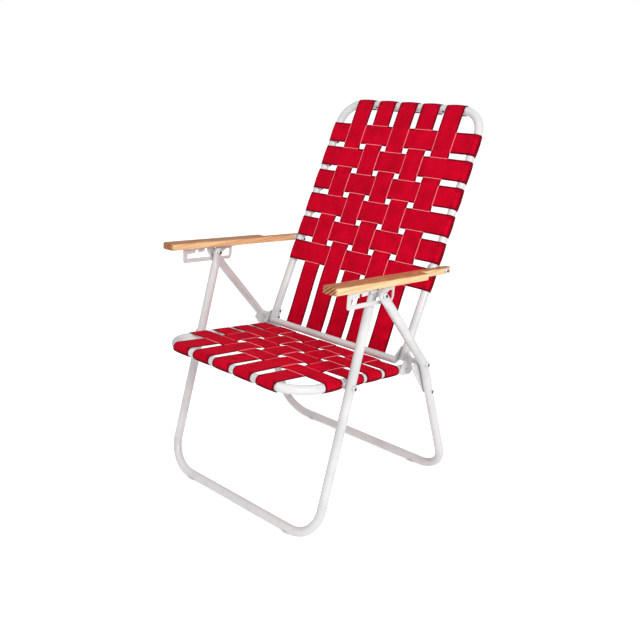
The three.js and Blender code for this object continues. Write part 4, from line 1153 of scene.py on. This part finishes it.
def dress_kept_nodes():
    """The pieces whose CAD shape is right get a better finish."""
    slots = {row["node"]: row["material_slot"] for row in frame["record"]["subparts"]}
    for name, node in frame["nodes"].items():
        if node.hide_render:
            continue
        node.data.materials.clear()
        node.data.materials.append(MATERIALS[slots[name]])


def camera():
    back = Vector((sin(CAMERA_AZIMUTH) * cos(CAMERA_ELEVATION),
                   -cos(CAMERA_AZIMUTH) * cos(CAMERA_ELEVATION), sin(CAMERA_ELEVATION)))
    level = Vector((cos(CAMERA_AZIMUTH), sin(CAMERA_AZIMUTH), 0))
    upright = back.cross(level)
    right = level * cos(CAMERA_ROLL) + upright * sin(CAMERA_ROLL)
    up = upright * cos(CAMERA_ROLL) - level * sin(CAMERA_ROLL)
    lens = bpy.data.cameras.new("photo_camera")
    lens.sensor_width = SENSOR_WIDTH
    lens.sensor_fit = "HORIZONTAL"
    lens.lens = SENSOR_WIDTH * FOCAL_PIXELS / PHOTO_SIDE
    holder = add_object("photo_camera", lens)
    placed = Matrix((right, up, back)).transposed().to_4x4()
    placed.translation = CAMERA_TARGET + back * CAMERA_DISTANCE
    holder.matrix_world = placed
    bpy.context.scene.camera = holder


def studio():
    """A pale floor, a white surround that is dimmer near the horizon, and two large soft lights."""
    floor = mesh_from("studio_floor", lambda shape: bmesh.ops.create_grid(
        shape, x_segments=1, y_segments=1, size=FLOOR_HALF))
    finish = Finish("studio_floor", (0.86, 0.86, 0.86), 0.9, Emission_Strength=1.0)
    finish.colour(finish.noise(finish.place(), scale=3.0), (0.87, 0.87, 0.87), (0.85, 0.85, 0.85))
    seen = finish.add("ShaderNodeLightPath")[0]
    finish.drive("Emission Color", finish.mixed(seen, (FLOOR_GLOW,) * 3, (FLOOR_SEEN,) * 3))
    floor.materials.append(finish.material)
    ground = add_object("studio_floor", floor)
    world = bpy.data.worlds.new("studio_light")
    world.use_nodes = True
    tree = Tree(world.node_tree)
    direction = tree.add("ShaderNodeTexCoord")[0]
    height = tree.add("ShaderNodeSeparateXYZ", {}, {"Vector": direction})[2]
    seen = tree.add("ShaderNodeLightPath")[0]
    glow = SKY_LOW + height.ramp(0.0, SKY_FULL_AT) * (SKY_HIGH - SKY_LOW)
    strength = seen * SKY_SEEN + (1.0 - seen) * glow
    background = world.node_tree.nodes["Background"]
    world.node_tree.links.new(strength.value, background.inputs["Strength"])
    background.inputs["Color"].default_value = (1.0, 1.0, 1.0, 1.0)
    bpy.context.scene.world = world
    for name, place, size, power in LAMPS:
        lamp = bpy.data.lights.new(name, "AREA")
        lamp.size = size
        lamp.energy = power
        holder = add_object(name, lamp)
        holder.location = place
        holder.rotation_euler = (CAMERA_TARGET - Vector(place)).to_track_quat("-Z", "Y").to_euler()
    bpy.context.scene.view_settings.view_transform = "Standard"


camera()
studio()
tube_frames()
top_dark_domes()
lower_bar()
hinge_parts()
leg_parts()
glides()
arms()
arm_brackets()
seat_strips()
back_strips()
add_head_dots()
dress_kept_nodes()
